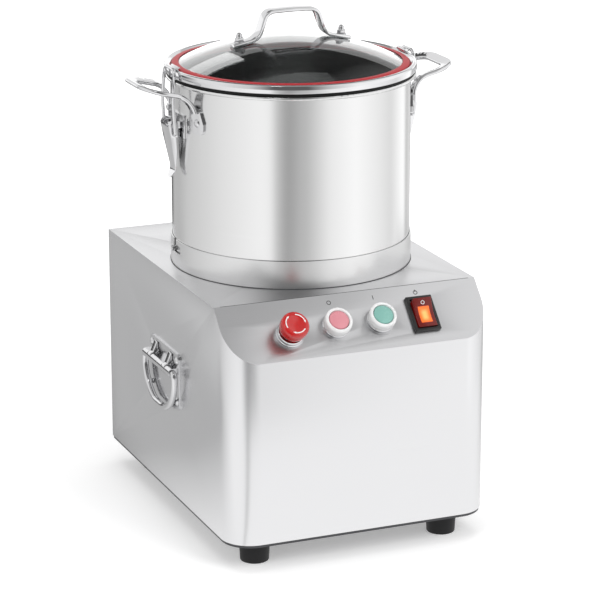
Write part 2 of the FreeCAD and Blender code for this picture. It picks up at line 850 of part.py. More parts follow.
def build_motor():
    """The motor's shell, shields, bearings, rotor, shaft and fan."""
    flange_top = shell_under
    flange_low = flange_top - S.flange_thick
    shell_top = flange_low
    shell_low = shell_top - S.motor_long
    shield_low = shell_low - S.shield_thick
    bore = S.shaft_round + 1.5
    pocket = S.bearing_round + S.pin_gap
    keep(lathe("motor_flange", [
        (bore, flange_low - 3),
        (pocket + 5, flange_low - 3),
        (pocket + 5, flange_low),
        (S.flange_round, flange_low),
        (S.flange_round, flange_top),
        (S.nose_round, flange_top),
        (S.nose_round, casing_top + S.nose_tall),
        (pocket, casing_top + S.nose_tall),
        (pocket, flange_low),
        (bore, flange_low),
    ], y=pot_y), "motor_flange")
    bolt_ring = (S.motor_round + S.flange_round) / 2
    tube = cut(
        "motor_tube",
        cylinder("motor_drum", S.motor_round, S.motor_long, y=pot_y, z=shell_low),
        cylinder("motor_bore", S.motor_round - S.motor_wall, S.motor_long + 2, y=pot_y, z=shell_low - 1),
    )
    ribs = []
    for number in range(20):
        angle = 360 * number / 20
        rib = doc.addObject("Part::Box", f"motor_rib_{number}")
        bind(rib, "Length", S.motor_wall + 2)
        rib.Width = 2.0
        bind(rib, "Height", S.motor_long - 24)
        x = (S.motor_round - 2) * math.cos(math.radians(angle))
        y = pot_y + (S.motor_round - 2) * math.sin(math.radians(angle))
        ribs.append(place(rib, x=x, y=y, z=shell_low + 12, turn=Rotation(Vector(0, 0, 1), angle)))
    keep(fuse("motor_housing", tube, *ribs), "motor_housing")
    keep(lathe("motor_end_shield", [
        (bore, shield_low),
        (pocket + 5, shield_low),
        (S.motor_round - 4, shell_low - 5),
        (S.motor_round, shell_low - 4),
        (S.motor_round, shell_low),
        (S.motor_round - S.motor_wall - 0.5, shell_low),
        (S.motor_round - S.motor_wall - 0.5, shell_low + 3),
        (pocket + 5, shell_low + 3),
        (pocket + 5, shield_low + S.bearing_tall + 3),
        (pocket, shield_low + S.bearing_tall + 3),
        (pocket, shield_low + 3),
        (bore, shield_low + 3),
    ], y=pot_y), "motor_end_shield")

    def bearing(name, level):
        inner = S.shaft_round + S.pin_gap
        ring = lathe(name, [
            (inner, level),
            (S.bearing_round, level),
            (S.bearing_round, level + S.bearing_tall),
            (inner, level + S.bearing_tall),
        ], y=pot_y)
        ends = (ring_at(S.bearing_round, level), ring_at(S.bearing_round, level + S.bearing_tall))
        return soften(ring, 0.8, *ends)

    upper = bearing("upper_bearing", flange_low)
    lower = bearing("lower_bearing", shield_low + 3)
    keep(group("motor_bearings", upper, lower), "motor_bearings")
    lip = casing_top + S.nose_tall
    bore_round = S.shaft_round + S.pin_gap
    keep(lathe("shaft_seal", [
        (bore_round, flange_low + S.bearing_tall),
        (pocket - S.pin_gap, flange_low + S.bearing_tall),
        (pocket - S.pin_gap, lip),
        (pocket - 6, lip),
        (bore_round, lip + 2),
    ], y=pot_y), "shaft_seal")
    bolts = []
    casing = next(item for item in nodes if item.Label == "casing_shell")
    flange = next(item for item in nodes if item.Label == "motor_flange")
    holes = []
    for quarter in range(4):
        angle = math.radians(90 * quarter + 45)
        x = bolt_ring * math.cos(angle)
        y = pot_y + bolt_ring * math.sin(angle)
        grip = S.flange_thick + S.sheet_wall + 5
        shaft = cylinder(f"motor_bolt_{quarter}", 2.9, grip, x=x, y=y, z=flange_low - 5)
        head = cylinder(f"motor_bolt_head_{quarter}", 5.0, 3.2, x=x, y=y, z=casing_top)
        nut = hexagon(f"motor_nut_{quarter}", 10.0, 4.0, x=x, y=y, z=flange_low - 4)
        bolts.append(fuse(f"motor_bolt_whole_{quarter}", shaft, head, nut))
        loose = 2.9 + S.seat_gap
        holes.append(cylinder(f"motor_bolt_hole_{quarter}", loose, 40.0, x=x, y=y, z=flange_low - 10))
    keep(group("motor_bolts", *bolts), "motor_bolts")
    casing.Tool.Shapes = casing.Tool.Shapes + holes
    nodes[nodes.index(flange)] = cut("motor_flange_drilled", flange, *holes)
    flange.Label = "motor_flange_blank"
    nodes[[item.Name for item in nodes].index("motor_flange_drilled")].Label = "motor_flange"
    # rotor side
    hex_low = tube_top + S.seat_gap * 3
    fan_top = shield_low - 3
    core_low = shell_low + (S.motor_long - S.rotor_long) / 2
    shaft_low = fan_top - S.fan_tall - 3
    bar = lathe("shaft", [
        (0.0, shaft_low),
        (S.shaft_round, shaft_low),
        (S.shaft_round, hex_low),
        (0.0, hex_low),
    ], y=pot_y)
    drive = hexagon("shaft_hex", S.hex_flat, S.hex_long, y=pot_y, z=hex_low)
    keep(fuse("motor_shaft", bar, drive), "motor_shaft")
    core = cut(
        "rotor_core",
        cylinder("rotor_drum", S.rotor_round, S.rotor_long, y=pot_y, z=core_low),
        cylinder("rotor_bore", S.shaft_round + S.pin_gap, S.rotor_long + 2, y=pot_y, z=core_low - 1),
    )
    keep(core, "rotor_core")
    stator = cut(
        "stator_core",
        cylinder("stator_drum", S.motor_round - S.motor_wall - S.pin_gap, S.rotor_long, y=pot_y, z=core_low),
        cylinder("stator_bore", S.rotor_round + S.air_gap, S.rotor_long + 2, y=pot_y, z=core_low - 1),
    )
    keep(stator, "stator_core")
    hub = cylinder("fan_hub", S.shaft_round + 5, S.fan_tall, y=pot_y, z=fan_top - S.fan_tall)
    disc = cylinder("fan_disc", S.fan_round, 2.0, y=pot_y, z=fan_top - 2)
    blades = []
    for number in range(9):
        angle = 40 * number
        blade = doc.addObject("Part::Box", f"fan_blade_{number}")
        bind(blade, "Length", S.fan_round - S.shaft_round - 4)
        blade.Width = 2.0
        bind(blade, "Height", S.fan_tall - 1)
        x = (S.shaft_round + 3) * math.cos(math.radians(angle))
        y = pot_y + (S.shaft_round + 3) * math.sin(math.radians(angle))
        blades.append(place(blade, x=x, y=y, z=fan_top - S.fan_tall, turn=Rotation(Vector(0, 0, 1), angle)))
    bore_low = fan_top - S.fan_tall - 2
    bore_tool = cylinder("fan_bore", S.shaft_round + S.pin_gap, S.fan_tall + 4, y=pot_y, z=bore_low)
    keep(cut("cooling_fan", fuse("fan_whole", hub, disc, *blades), bore_tool), "cooling_fan")


def build_electrics():
    """The capacitor and the terminal box, each fixed to the base plate."""
    round_ = S.capacitor_round
    spot = {
        "x": side_face - S.electrics_inset - round_,
        "y": rear_face - S.electrics_forward - round_,
    }
    can = cylinder("capacitor_can", round_, S.capacitor_tall, z=casing_floor, **spot)
    cap = cone("capacitor_cap", round_, round_ - 4, 4.0, z=casing_floor + S.capacitor_tall, **spot)
    keep(fuse("run_capacitor", can, cap), "run_capacitor")
    spot = {
        "x": S.electrics_inset + S.box_wide / 2 - side_face,
        "y": rear_face - S.electrics_forward - S.box_deep / 2,
    }
    body = block("terminal_body", S.box_wide, S.box_deep, S.box_tall, z=casing_floor, **spot)
    lid = block("terminal_lid", S.box_wide - 4, S.box_deep - 4, 3.0, z=casing_floor + S.box_tall, **spot)
    keep(fuse("terminal_box", body, lid), "terminal_box")


# Controls on the raked panel


def bezel(name, x, down, tall, hollow, way):
    """A round collar that stands on the panel; its shank passes through and a narrower way leads behind."""
    low = on_panel(x, down)
    crown_tall = S.bezel_round - S.button_round - 2.4
    outer = cylinder(name + "_ring", S.bezel_round, tall - crown_tall, **low)
    crown_foot = on_panel(x, down, tall - crown_tall)
    crown = cone(name + "_crown", S.bezel_round, S.bezel_round - 1.6, crown_tall, **crown_foot)
    shank_low = on_panel(x, down, 0 - S.shank_long)
    shank = cylinder(name + "_shank", S.button_hole - S.seat_gap, S.shank_long, **shank_low)
    mouth = cylinder(name + "_mouth", hollow, tall + 1, **low)
    bore = cylinder(name + "_bore", way, S.shank_long + 2, **on_panel(x, down, -1 - S.shank_long))
    return cut(name, fuse(name + "_whole", outer, crown, shank), mouth, bore)


def build_controls():
    """The stop knob, the two push buttons, the rocker switch and what is behind them."""
    shank_bore = S.button_round - 1.6
    places = control_places
    keep(bezel("knob_collar", *places["knob"], S.knob_collar, shank_bore, shank_bore), "estop_collar")
    hollow = S.button_round + S.slide_gap
    way = S.button_stem + S.slide_gap
    rings = [bezel(name + "_bezel", *places[name], S.bezel_tall, hollow, way) for name in ("stop", "start")]
    keep(group("button_bezels", *rings), "button_bezels")
    seat = S.button_travel + S.seat_gap
    for name in ("stop", "start"):
        x, down = places[name]
        disc = cylinder(name + "_disc", S.button_round, S.bezel_tall - seat, **on_panel(x, down, seat))
        crown_foot = on_panel(x, down, S.bezel_tall)
        crown = cone(name + "_top", S.button_round, S.button_round - 1, 1.0, **crown_foot)
        stem = cylinder(name + "_stem", S.button_stem, seat + 15, **on_panel(x, down, -15.0))
        keep(fuse(name + "_button", disc, crown, stem), name + "_button")
    x, down = places["knob"]
    stem = cylinder("knob_stem", shank_bore - S.slide_gap, S.knob_lift + 18, **on_panel(x, down, -16.0))
    tongue = cylinder("knob_tongue", shank_bore - 3, S.knob_tall - 9, **on_panel(x, down, S.knob_lift + 2))
    keep(fuse("estop_stem", stem, tongue), "estop_stem")
    skirt = cone("knob_skirt", S.knob_round - 2, S.knob_round, 6.0, **on_panel(x, down, S.knob_lift))
    drum = cylinder("knob_drum", S.knob_round, S.knob_tall - 11, **on_panel(x, down, S.knob_lift + 6))
    top_foot = on_panel(x, down, S.knob_lift + S.knob_tall - 5)
    top = cone("knob_top", S.knob_round, S.knob_round - 3.5, 5.0, **top_foot)
    wide_bore = cylinder("knob_bore", shank_bore, 2 + S.seat_gap, **on_panel(x, down, S.knob_lift))
    deep_round = shank_bore - 3 + S.pin_gap
    deep = S.knob_tall - 7 + S.seat_gap
    deep_bore = cylinder("knob_deep", deep_round, deep, **on_panel(x, down, S.knob_lift))
    keep(cut("estop_head", fuse("knob_whole", skirt, drum, top), wide_bore, deep_bore), "estop_head")
    nuts = []
    blocks = []
    for name in ("knob", "stop", "start"):
        x, down = places[name]
        nut_foot = on_panel(x, down, 0 - S.sheet_wall - 4)
        ring = hexagon(name + "_nut_bar", S.button_hole * 2 + 6, 4.0, **nut_foot)
        hole = cylinder(name + "_nut_bore", S.button_hole, 8.0, **on_panel(x, down, 0 - S.sheet_wall - 6))
        nuts.append(cut(name + "_nut", ring, hole))
        contact_foot = on_panel(x, down, -16 - S.shank_long)
        blocks.append(cylinder(name + "_contacts", S.button_hole, 16.0, **contact_foot))
    keep(group("panel_nuts", *nuts), "panel_nuts")
    keep(group("contact_blocks", *blocks), "contact_blocks")
    x, down = places["rocker"]
    frame_tall = 4.0

    def panel_box(name, wide, long, tall, out):
        box = doc.addObject("Part::Box", name)
        bind(box, "Length", wide)
        bind(box, "Width", long)
        bind(box, "Height", tall)
        return place(box, **on_panel(x - wide / 2, down + long / 2, out))

    frame = panel_box("rocker_rim", S.rocker_frame_wide, S.rocker_frame_long, frame_tall, 0.0)
    shell = panel_box("rocker_shell", S.rocker_wide + 3.6, S.rocker_long + 3.6, 24.0, -24.0)
    well_wide = S.rocker_wide + S.slide_gap * 2
    well_long = S.rocker_long + S.slide_gap * 4
    well = panel_box("rocker_well", well_wide, well_long, 40.0, -20.0)
    pins = [cylinder(f"rocker_pin_{side}", 1.5, 3.2, **rocker_pin(x, down, side)) for side in (-1, 1)]
    carved = cut("rocker_carved", fuse("rocker_frame", frame, shell), well)
    keep(fuse("rocker_bezel", carved, *pins), "rocker_bezel")
    half = S.rocker_long / 2
    tip = math.radians(rocker_tip)
    face = [
        (-math.cos(tip) * half, rocker_face + math.sin(tip) * half),
        (0.0, rocker_face - 1.5),
        (math.cos(tip) * half, rocker_face + math.sin(tip) * half),
        (half - 3, -7.0),
        (0 - half + 3, -7.0),
    ]
    lever = pad("rocker_lever", "YZ_Plane", face, S.rocker_wide, middle=True)
    place(lever, **on_panel(x, down))
    lever.Placement = Placement(lever.Placement.Base, Rotation(Vector(1, 0, 0), panel_tilt + rocker_tip))
    holes = cylinder("rocker_pivot", 1.5 + S.pin_gap, S.rocker_wide + 4, **rocker_pin(x, down, -1, 2.0))
    keep(cut("rocker_cut", lever, holes), "rocker")


rocker_tip = 9.0
rocker_face = 7.0


def rocker_pin(x, down, side, spare=0.0):
    """The placement of a short pin that the rocker tilts on."""
    where = on_panel(x, down)
    lying = Rotation(Vector(0, 1, 0), 90)
    start = S.rocker_wide / 2 - 1.8 if side > 0 else 0 - S.rocker_wide / 2 - 1.4 - spare
    where["x"] = x + start
    where["turn"] = lying
    return where


# Side handles


def build_side_handles():
    """A plate with a rolled sleeve and a swinging bail on each side of the casing."""
    level = casing_floor + S.bail_up
    middle_y = S.bail_from_middle
    axis_x = side_face + S.bail_stand
    sleeve = S.bail_round + S.pin_gap + S.sleeve_wall
    face = side_face
    plan = [
        (middle_y - S.plate_half, level - S.plate_below),
        (middle_y + S.plate_half, level - S.plate_below),
        (middle_y + S.plate_half, level + S.plate_above),
        (middle_y - S.plate_half, level + S.plate_above),
    ]
    plate = pad("side_plate", "YZ_Plane", plan, S.plate_thick)
    soften(plate, 6.0, lambda edge: edge.BoundBox.XLength > 1)
    place(plate, x=face)
    lying = Rotation(Vector(1, 0, 0), -90)
    start = middle_y - S.sleeve_half
    long = S.sleeve_half * 2
    tube = cylinder("side_sleeve", sleeve, long, x=axis_x, y=start, z=level, turn=lying)
    web = block("side_web", S.bail_stand, long, sleeve, x=face + S.bail_stand / 2, y=middle_y, z=level)
    way = S.bail_round + S.pin_gap
    bore = cylinder("side_bore", way, long + 2, x=axis_x, y=start - 1, z=level, turn=lying)
    holes = []
    rivets = []
    out = Rotation(Vector(0, 1, 0), 90)
    lift = S.plate_thick
    for along in (-1, 1):
        for up in (S.plate_above - 8, 0 - S.plate_below + 9):
            name = f"side_rivet_{'front' if along < 0 else 'back'}_{'top' if up > 0 else 'low'}"
            y = middle_y + (S.plate_half - 6) * along
            z = level + up
            grip = S.sheet_wall + lift + 1.2
            shank = cylinder(name, 2.4, grip, x=face - S.sheet_wall - 1, y=y, z=z, turn=out)
            dome = cone(name + "_dome", 4.2, 2.6, 1.8, x=face + lift, y=y, z=z, turn=out)
            tail = cylinder(name + "_tail", 4.0, 1.5, x=face - S.sheet_wall - 1.5, y=y, z=z, turn=out)
            rivets.append(fuse(name + "_whole", shank, dome, tail))
            holes.append(cylinder(name + "_hole", 2.4 + S.pin_gap, 12.0, x=face - 6, y=y, z=z, turn=out))
    whole = fuse("side_plate_whole", plate, tube, web)
    right = cut("side_plate_right", whole, bore, *holes)
    keep(right, "side_plate_right")
    keep(half_turned("side_plate_left", right, middle_y), "side_plate_left")
    right_rivets = group("side_rivets_right", *rivets)
    left_rivets = half_turned("side_rivets_left", right_rivets, middle_y)
    keep(group("side_rivets", right_rivets, left_rivets), "side_rivets")
    right_holes = group("side_holes_right", *holes)
    left_holes = half_turned("side_holes_left", right_holes, middle_y)
    casing = next(item for item in nodes if item.Label == "casing_shell")
    casing.Tool.Shapes = casing.Tool.Shapes + holes
    keep_label = casing.Label
    casing.Label = "casing_shell_right"
    drilled = cut("casing_drilled", casing, left_holes)
    nodes[nodes.index(casing)] = drilled
    drilled.Label = keep_label
    half = S.bail_half
    corners = [
        Vector(axis_x, middle_y - half + 6, level),
        Vector(axis_x, middle_y - half, level),
        Vector(axis_x, middle_y - half, level - S.bail_drop),
        Vector(axis_x, middle_y + half, level - S.bail_drop),
        Vector(axis_x, middle_y + half, level),
        Vector(axis_x, middle_y + half - 6, level),
    ]
    closed = bent_path(
        [Vector(axis_x, middle_y, level)] + corners[1:5] + [Vector(axis_x, middle_y, level)],
        [S.bail_elbow, S.bail_corner, S.bail_corner, S.bail_elbow],
    )
    ring = swept(closed, round_section(Vector(axis_x, middle_y, level), Vector(0, 1, 0), S.bail_round))
    right_bail = shaped("bail_right", ring)
    keep(right_bail, "bail_right")
    keep(half_turned("bail_left", right_bail, middle_y), "bail_left")


# Pot with its handles, studs and latch brackets


def build_pot():
    """The pot with its centre tube, and the studs that hold it in the collar."""
    bead = pot_round + S.bead_stand
    pot = lathe("pot", [
        (S.tube_bore, pot_bottom),
        (pot_round, pot_bottom),
        (pot_round, pot_rim - S.bead_tall),
        (bead, pot_rim - S.bead_tall),
        (bead, pot_rim),
        (pot_inside, pot_rim),
        (pot_inside, pot_deck),
        (tube_round, pot_deck),
        (tube_round, tube_top),
        (S.tube_bore, tube_top),
    ], y=pot_y)
    soften(pot, S.pot_corner, ring_at(pot_round, pot_bottom))
    soften(pot, S.pot_corner - S.pot_wall, ring_at(pot_inside, pot_deck))
    soften(pot, S.bead_tall / 2 - 0.1, ring_at(bead, pot_rim), ring_at(bead, pot_rim - S.bead_tall))
    keep(pot, "bowl")
    studs = []
    for number, side in enumerate((0, 180)):
        angle = math.radians(S.slot_at + side)
        out = Rotation(Vector(0, 0, 1), S.slot_at + side).multiply(Rotation(Vector(0, 1, 0), 90))
        x = pot_round * math.cos(angle)
        y = pot_y + pot_round * math.sin(angle)
        z = casing_top + S.stud_up
        bar = cylinder(f"stud_bar_{number}", S.stud_round, S.stud_stand, x=x, y=y, z=z, turn=out)
        studs.append(bar)
    keep(group("bayonet_studs", *studs), "bayonet_studs")


def foot_plate(middle, out, across, upright, deep):
    """A rounded plate square to a direction, wider than it is needed and still to be trimmed."""
    side = Vector(0, 0, 1).cross(out).normalize()
    half = across / 2
    rise = upright / 2
    right = [(0, -rise), (half, -rise), (half, 0), (half * 0.5, rise)]
    corners = right + [(-u, v) for u, v in reversed(right)]
    points = [middle + side * u + Vector(0, 0, v) for u, v in corners]
    outline = bent_path(points, [half * 0.6, half, half * 0.3, half * 0.3, half, half * 0.6])
    return Part.Face(outline).extrude(out * deep)


def build_pot_handles():
    """A looped grip of oval bar on each side; each leg splays to a foot that a rivet holds on the wall."""
    spread = S.grip_spread
    leg_x = math.sqrt(pot_round ** 2 - (spread - S.grip_wide / 2) ** 2) + S.grip_thick / 2
    knee = pot_rim - S.grip_below_rim
    level = pot_rim - S.foot_below_rim
    tip = Vector(leg_x + S.grip_reach, 0, knee + S.grip_rise)
    skin = Part.makeCylinder(pot_round + S.foot_sheet, S.pot_tall, Vector(0, pot_y, pot_bottom))
    wall = Part.makeCylinder(pot_round, S.pot_tall, Vector(0, pot_y, pot_bottom))
    foot_x = math.sqrt(pot_round ** 2 - S.foot_spread ** 2)
    lower = [Vector(foot_x + S.grip_thick / 2, pot_y + side * S.foot_spread, level) for side in (-1, 1)]
    middle = [
        Vector(leg_x, pot_y - spread, knee),
        Vector(tip.x, pot_y - spread, tip.z),
        Vector(tip.x, pot_y + spread, tip.z),
        Vector(leg_x, pot_y + spread, knee),
    ]
    path = bent_path([lower[0], *middle, lower[1]], [S.grip_bend, S.grip_turn, S.grip_turn, S.grip_bend])
    first = (middle[0] - lower[0]).normalize()
    section = oval_section(lower[0], first, Vector(0, 1, 0), S.grip_wide, S.grip_thick)
    bar = swept(path, section)
    feet = []
    rivets = []
    holes = []
    for side in (-1, 1):
        out = Vector(foot_x, side * S.foot_spread, 0).normalize()
        axis = Vector(0, pot_y, level)
        plate = foot_plate(axis + out * (pot_round - 8), out, S.foot_across, S.foot_upright, 20)
        feet.append(plate.common(skin))
        face = axis + out * (pot_round + S.foot_sheet)
        bar = bar.cut(Part.makeCylinder(S.foot_across / 2 + 1, 30, face, out))
        inside = axis + out * (pot_inside - S.rivet_head - 0.12)
        reach = (face - inside).Length
        head = Part.makeCylinder(S.rivet_round, S.rivet_head, inside, out)
        shank = Part.makeCylinder(S.rivet_round / 2, reach, inside, out)
        ball = Part.makeSphere(S.rivet_round * 1.2, face - out * (S.rivet_round * 0.66))
        crown = ball.common(Part.makeCylinder(S.rivet_round * 2, 10, face, out))
        rivets.append(head.fuse([shank, crown]))
        holes.append(Part.makeCylinder(S.rivet_round / 2 + S.pin_gap, 20, inside - out * 4, out))
    whole = bar.fuse(feet).cut(wall).cut(holes).removeSplitter()
    right = shaped("bowl_handle_right", whole)
    keep(right, "bowl_handle_right")
    keep(half_turned("bowl_handle_left", right), "bowl_handle_left")
    right_rivets = shaped("handle_rivets_right", Part.makeCompound(rivets))
    left_rivets = half_turned("handle_rivets_left", right_rivets)
    keep(group("handle_rivets", right_rivets, left_rivets), "bowl_handle_rivets")
    right_holes = shaped("handle_holes_right", Part.makeCompound(holes))
    pot = next(item for item in nodes if item.Label == "bowl")
    pot.Label = "bowl_blank"
    drilled = cut("bowl_drilled", pot, right_holes, half_turned("handle_holes_left", right_holes))
    nodes[nodes.index(pot)] = drilled
    drilled.Label = "bowl"


def build_latch_brackets():
    """The bracket that each latch lever swings on, bent round the pot, and its pin."""
    reach = S.lever_pivot_out
    ear_nose = S.lever_round - S.lever_wall - S.slide_gap
    ring_outer = Part.makeCylinder(pot_round + S.ear_thick, 24, Vector(0, pot_y, pivot_z - 13))
    ring_inner = Part.makeCylinder(pot_round, 26, Vector(0, pot_y, pivot_z - 14))
    window_foot = Vector(pot_round - 20, pot_y - S.ear_half - 8.5, pivot_z - 13)
    window = Part.makeBox(40, S.ear_half * 2 + 17, 24, window_foot)
    base = ring_outer.cut(ring_inner).common(window)
    bracket = base
    for side in (-1, 1):
        low_y = pot_y + (S.ear_half - S.ear_thick if side > 0 else 0 - S.ear_half)
        tab_foot = Vector(pot_round - 2, low_y, pivot_z - ear_nose)
        tab = Part.makeBox(reach - pot_round + 2, S.ear_thick, ear_nose * 2, tab_foot)
        nose = Part.makeCylinder(ear_nose, S.ear_thick, Vector(reach, low_y, pivot_z), Vector(0, 1, 0))
        bracket = bracket.fuse([tab, nose])
    through = S.lever_wide
    start = Vector(reach, pot_y - through, pivot_z)
    bore = Part.makeCylinder(S.pin_round + S.pin_gap, through * 2, start, Vector(0, 1, 0))
    wall = Part.makeCylinder(pot_round, through * 2, Vector(0, pot_y, pivot_z - through))
    bracket = bracket.cut([bore, wall])
    right = shaped("latch_bracket_right", bracket.removeSplitter())
    keep(group("latch_brackets", right, half_turned("latch_bracket_left", right)), "latch_brackets")
    half = S.lever_wide / 2 + S.seat_gap
    pin = Part.makeCylinder(S.pin_round, half * 2, Vector(reach, pot_y - half, pivot_z), Vector(0, 1, 0))
    for side in (-1, 1):
        start = Vector(reach, pot_y + (half if side > 0 else 0 - half - 1), pivot_z)
        pin = pin.fuse(Part.makeCylinder(S.pin_round + 1.3, 1, start, Vector(0, 1, 0)))
    right_pin = shaped("latch_pin_right", pin)
    keep(group("latch_pins", right_pin, half_turned("latch_pin_left", right_pin)), "latch_pins")


def lever_profile(inset):
    """The lever seen from its side, drawn in by one wall."""
    px, pz = S.lever_pivot_out, pivot_z
    outer_top = S.lever_round - inset
    low = pz - S.lever_long
    tail_out = px - 2.6 - inset
    tail_in = px - 7.4 - 3 * inset
    circle = Part.makeCylinder(outer_top, 80, Vector(px, pot_y - 40, pz), Vector(0, 1, 0))
    corners = [
        Vector(px + outer_top, pot_y - 40, pz),
        Vector(tail_out, pot_y - 40, low),
        Vector(tail_in, pot_y - 40, low),
        Vector(px - outer_top - 2 * inset, pot_y - 40, pz),
    ]
    side = Part.Face(Part.makePolygon(corners + corners[:1])).extrude(Vector(0, 80, 0))
    return circle.fuse(side)


def lever_front(inset):
    """The lever seen from the front, drawn in by one wall, with a round end."""
    wide = S.lever_wide / 2 - inset
    narrow = S.lever_tip_wide / 2 - inset
    top = pivot_z + S.lever_round + 1
    low = pivot_z - S.lever_long - S.lever_tongue + S.lever_tip_wide / 2
    turn = pivot_z - S.wire_drop - 4
    corners = [
        Vector(100, pot_y - wide, top),
        Vector(100, pot_y - wide, turn),
        Vector(100, pot_y - narrow, low),
        Vector(100, pot_y + narrow, low),
        Vector(100, pot_y + wide, turn),
        Vector(100, pot_y + wide, top),
    ]
    end = Part.makeCylinder(narrow, 60, Vector(100, pot_y, low), Vector(1, 0, 0))
    return Part.Face(Part.makePolygon(corners + corners[:1])).extrude(Vector(60, 0, 0)).fuse(end)


def build_latches():
    """The levers, which are tapered channels with a curled tip, and the wires that hook the lid."""
    px, pz = S.lever_pivot_out, pivot_z
    wall = S.lever_wall
    low = pz - S.lever_long
    tail = px - 2.6
    web = tail - wall / 2
    start = Vector(web, pot_y, low + 1)
    bend = Vector(web, pot_y, low - S.lever_tongue * 0.4)
    tip = Vector(web + S.lever_flare, pot_y, low - S.lever_tongue)
    curl = bent_path([start, bend, tip], [S.lever_tongue * 0.6])
    strip = swept(curl, flat_section(start, Vector(0, 0, -1), Vector(0, 1, 0), 40.0, wall))
    outer = lever_profile(0.0).fuse(strip).common(lever_front(0.0))
    inner = lever_profile(wall).common(lever_front(wall))
    mouth = Part.makeBox(30, 80, 80, Vector(px - S.lever_round - 29.5, pot_y - 40, low - 10))
    slot_foot = Vector(px - S.lever_round - 1, pot_y - S.lever_wide / 2 + wall, pz - wall)
    top_slot = Part.makeBox(S.lever_round * 2 + 2, S.lever_wide - wall * 2, S.lever_round * 2, slot_foot)
    shape = outer.cut(inner).cut(top_slot).cut(mouth)
    through = S.lever_wide
    holes = [
        (S.pin_round + S.pin_gap, Vector(px, pot_y - through, pz)),
        (S.wire_round + S.pin_gap, Vector(px - 0.5, pot_y - through, pz - S.wire_drop)),
    ]
    for radius, at in holes:
        shape = shape.cut(Part.makeCylinder(radius, through * 2, at, Vector(0, 1, 0)))
    right = shaped("latch_lever_right", shape.removeSplitter())
    keep(right, "latch_lever_right")
    keep(half_turned("latch_lever_left", right), "latch_lever_left")
    hook_x = S.lid_round + S.wire_round + S.slide_gap
    hook_z = rim_top + S.wire_round
    eye = Vector(px - 0.5, 0, pz - S.wire_drop)
    inner_y = S.ear_half - 0.2
    half = S.wire_half
    points = []
    for side in (-1, 1):
        leg = [
            Vector(eye.x, pot_y + side * inner_y, eye.z),
            Vector(eye.x, pot_y + side * half, eye.z),
            Vector(px + 1.6, pot_y + side * half, pivot_z + 24),
            Vector(hook_x, pot_y + side * (half - 1.6), hook_z),
        ]
        points.extend(leg if side < 0 else leg[::-1])
    path = bent_path(points, [3.4, 90.0, 7.0, 7.0, 90.0, 3.4])
    wire = swept(path, round_section(points[0], Vector(0, -1, 0), S.wire_round))
    right_wire = shaped("latch_wire_right", wire)
    keep(right_wire, "latch_wire_right")
    keep(half_turned("latch_wire_left", right_wire), "latch_wire_left")


# Lid


def dome_level(radius, drop=0.0):
    """The height of the dome's outer face at one radius, or of a face that lies deeper."""
    ball = S.dome_round - drop
    edge_height = root(S.dome_round * S.dome_round - S.seal_inner * S.seal_inner)
    return rim_top - 1.0 + root(ball * ball - radius * radius) - edge_height


def build_lid():
    """The metal rim, gasket, seal ring and glass dome; the dome is returned for its holes."""
    inner = S.lid_round - 11
    keep(lathe("lid_gasket", [
        (inner, gasket_foot),
        (S.lid_round - 1.2, gasket_foot),
        (S.lid_round - 1.2, rim_foot),
        (inner, rim_foot),
    ], y=pot_y), "lid_gasket")
    ledge = rim_foot + S.rim_ledge
    ledge_inner = S.seal_inner - 3
    rim = lathe("rim", [
        (ledge_inner, rim_foot),
        (S.lid_round, rim_foot),
        (S.lid_round, rim_top),
        (S.seal_outer + 3, rim_top),
        (S.seal_outer + S.seat_gap, rim_top - 2.4),
        (S.seal_outer + S.seat_gap, ledge),
        (ledge_inner, ledge),
    ], y=pot_y)
    soften(rim, 2.2, ring_at(S.lid_round, rim_top))
    keep(rim, "lid_rim")
    edge = S.glass_edge
    edge_top = dome_level(edge)
    edge_low = dome_level(edge, S.glass_thick)
    keep(lathe("lid_seal", [
        (ledge_inner, ledge),
        (S.seal_outer, ledge),
        (S.seal_outer, rim_top - 1.7),
        (S.seal_inner, rim_top - 0.3),
        (S.seal_inner, dome_level(S.seal_inner) + S.seat_gap),
        (edge + S.seat_gap, edge_top + S.seat_gap),
        (edge + S.seat_gap, edge_low - S.seat_gap),
        (ledge_inner, edge_low - S.seat_gap),
    ], y=pot_y), "lid_seal_ring")
    return lathe("dome", [
        (0.0, dome_level(0.0, S.glass_thick), S.glass_thick - S.dome_round),
        (edge, edge_low),
        (edge, edge_top, S.dome_round),
        (0.0, dome_level(0.0)),
    ], y=pot_y)


def strap_path():
    """The middle line of the lid's strap handle, in the plane across the pot."""
    foot_x = S.strap_foot_out
    lift = S.strap_thick / 2 + S.seat_gap
    foot = Vector(foot_x, pot_y, dome_level(foot_x) + lift)
    root_x = S.strap_half_top + S.strap_splay
    root_point = Vector(root_x, pot_y, dome_level(root_x) + lift + 0.6)
    crown = Vector(0, pot_y, rim_top + S.strap_tall - S.strap_thick / 2)
    shoulder = Vector(S.strap_half_top, pot_y, crown.z - S.strap_bow)
    mirrored = [Vector(0 - point.x, pot_y, point.z) for point in (shoulder, root_point, foot)]
    return [foot, root_point, shoulder, crown] + mirrored


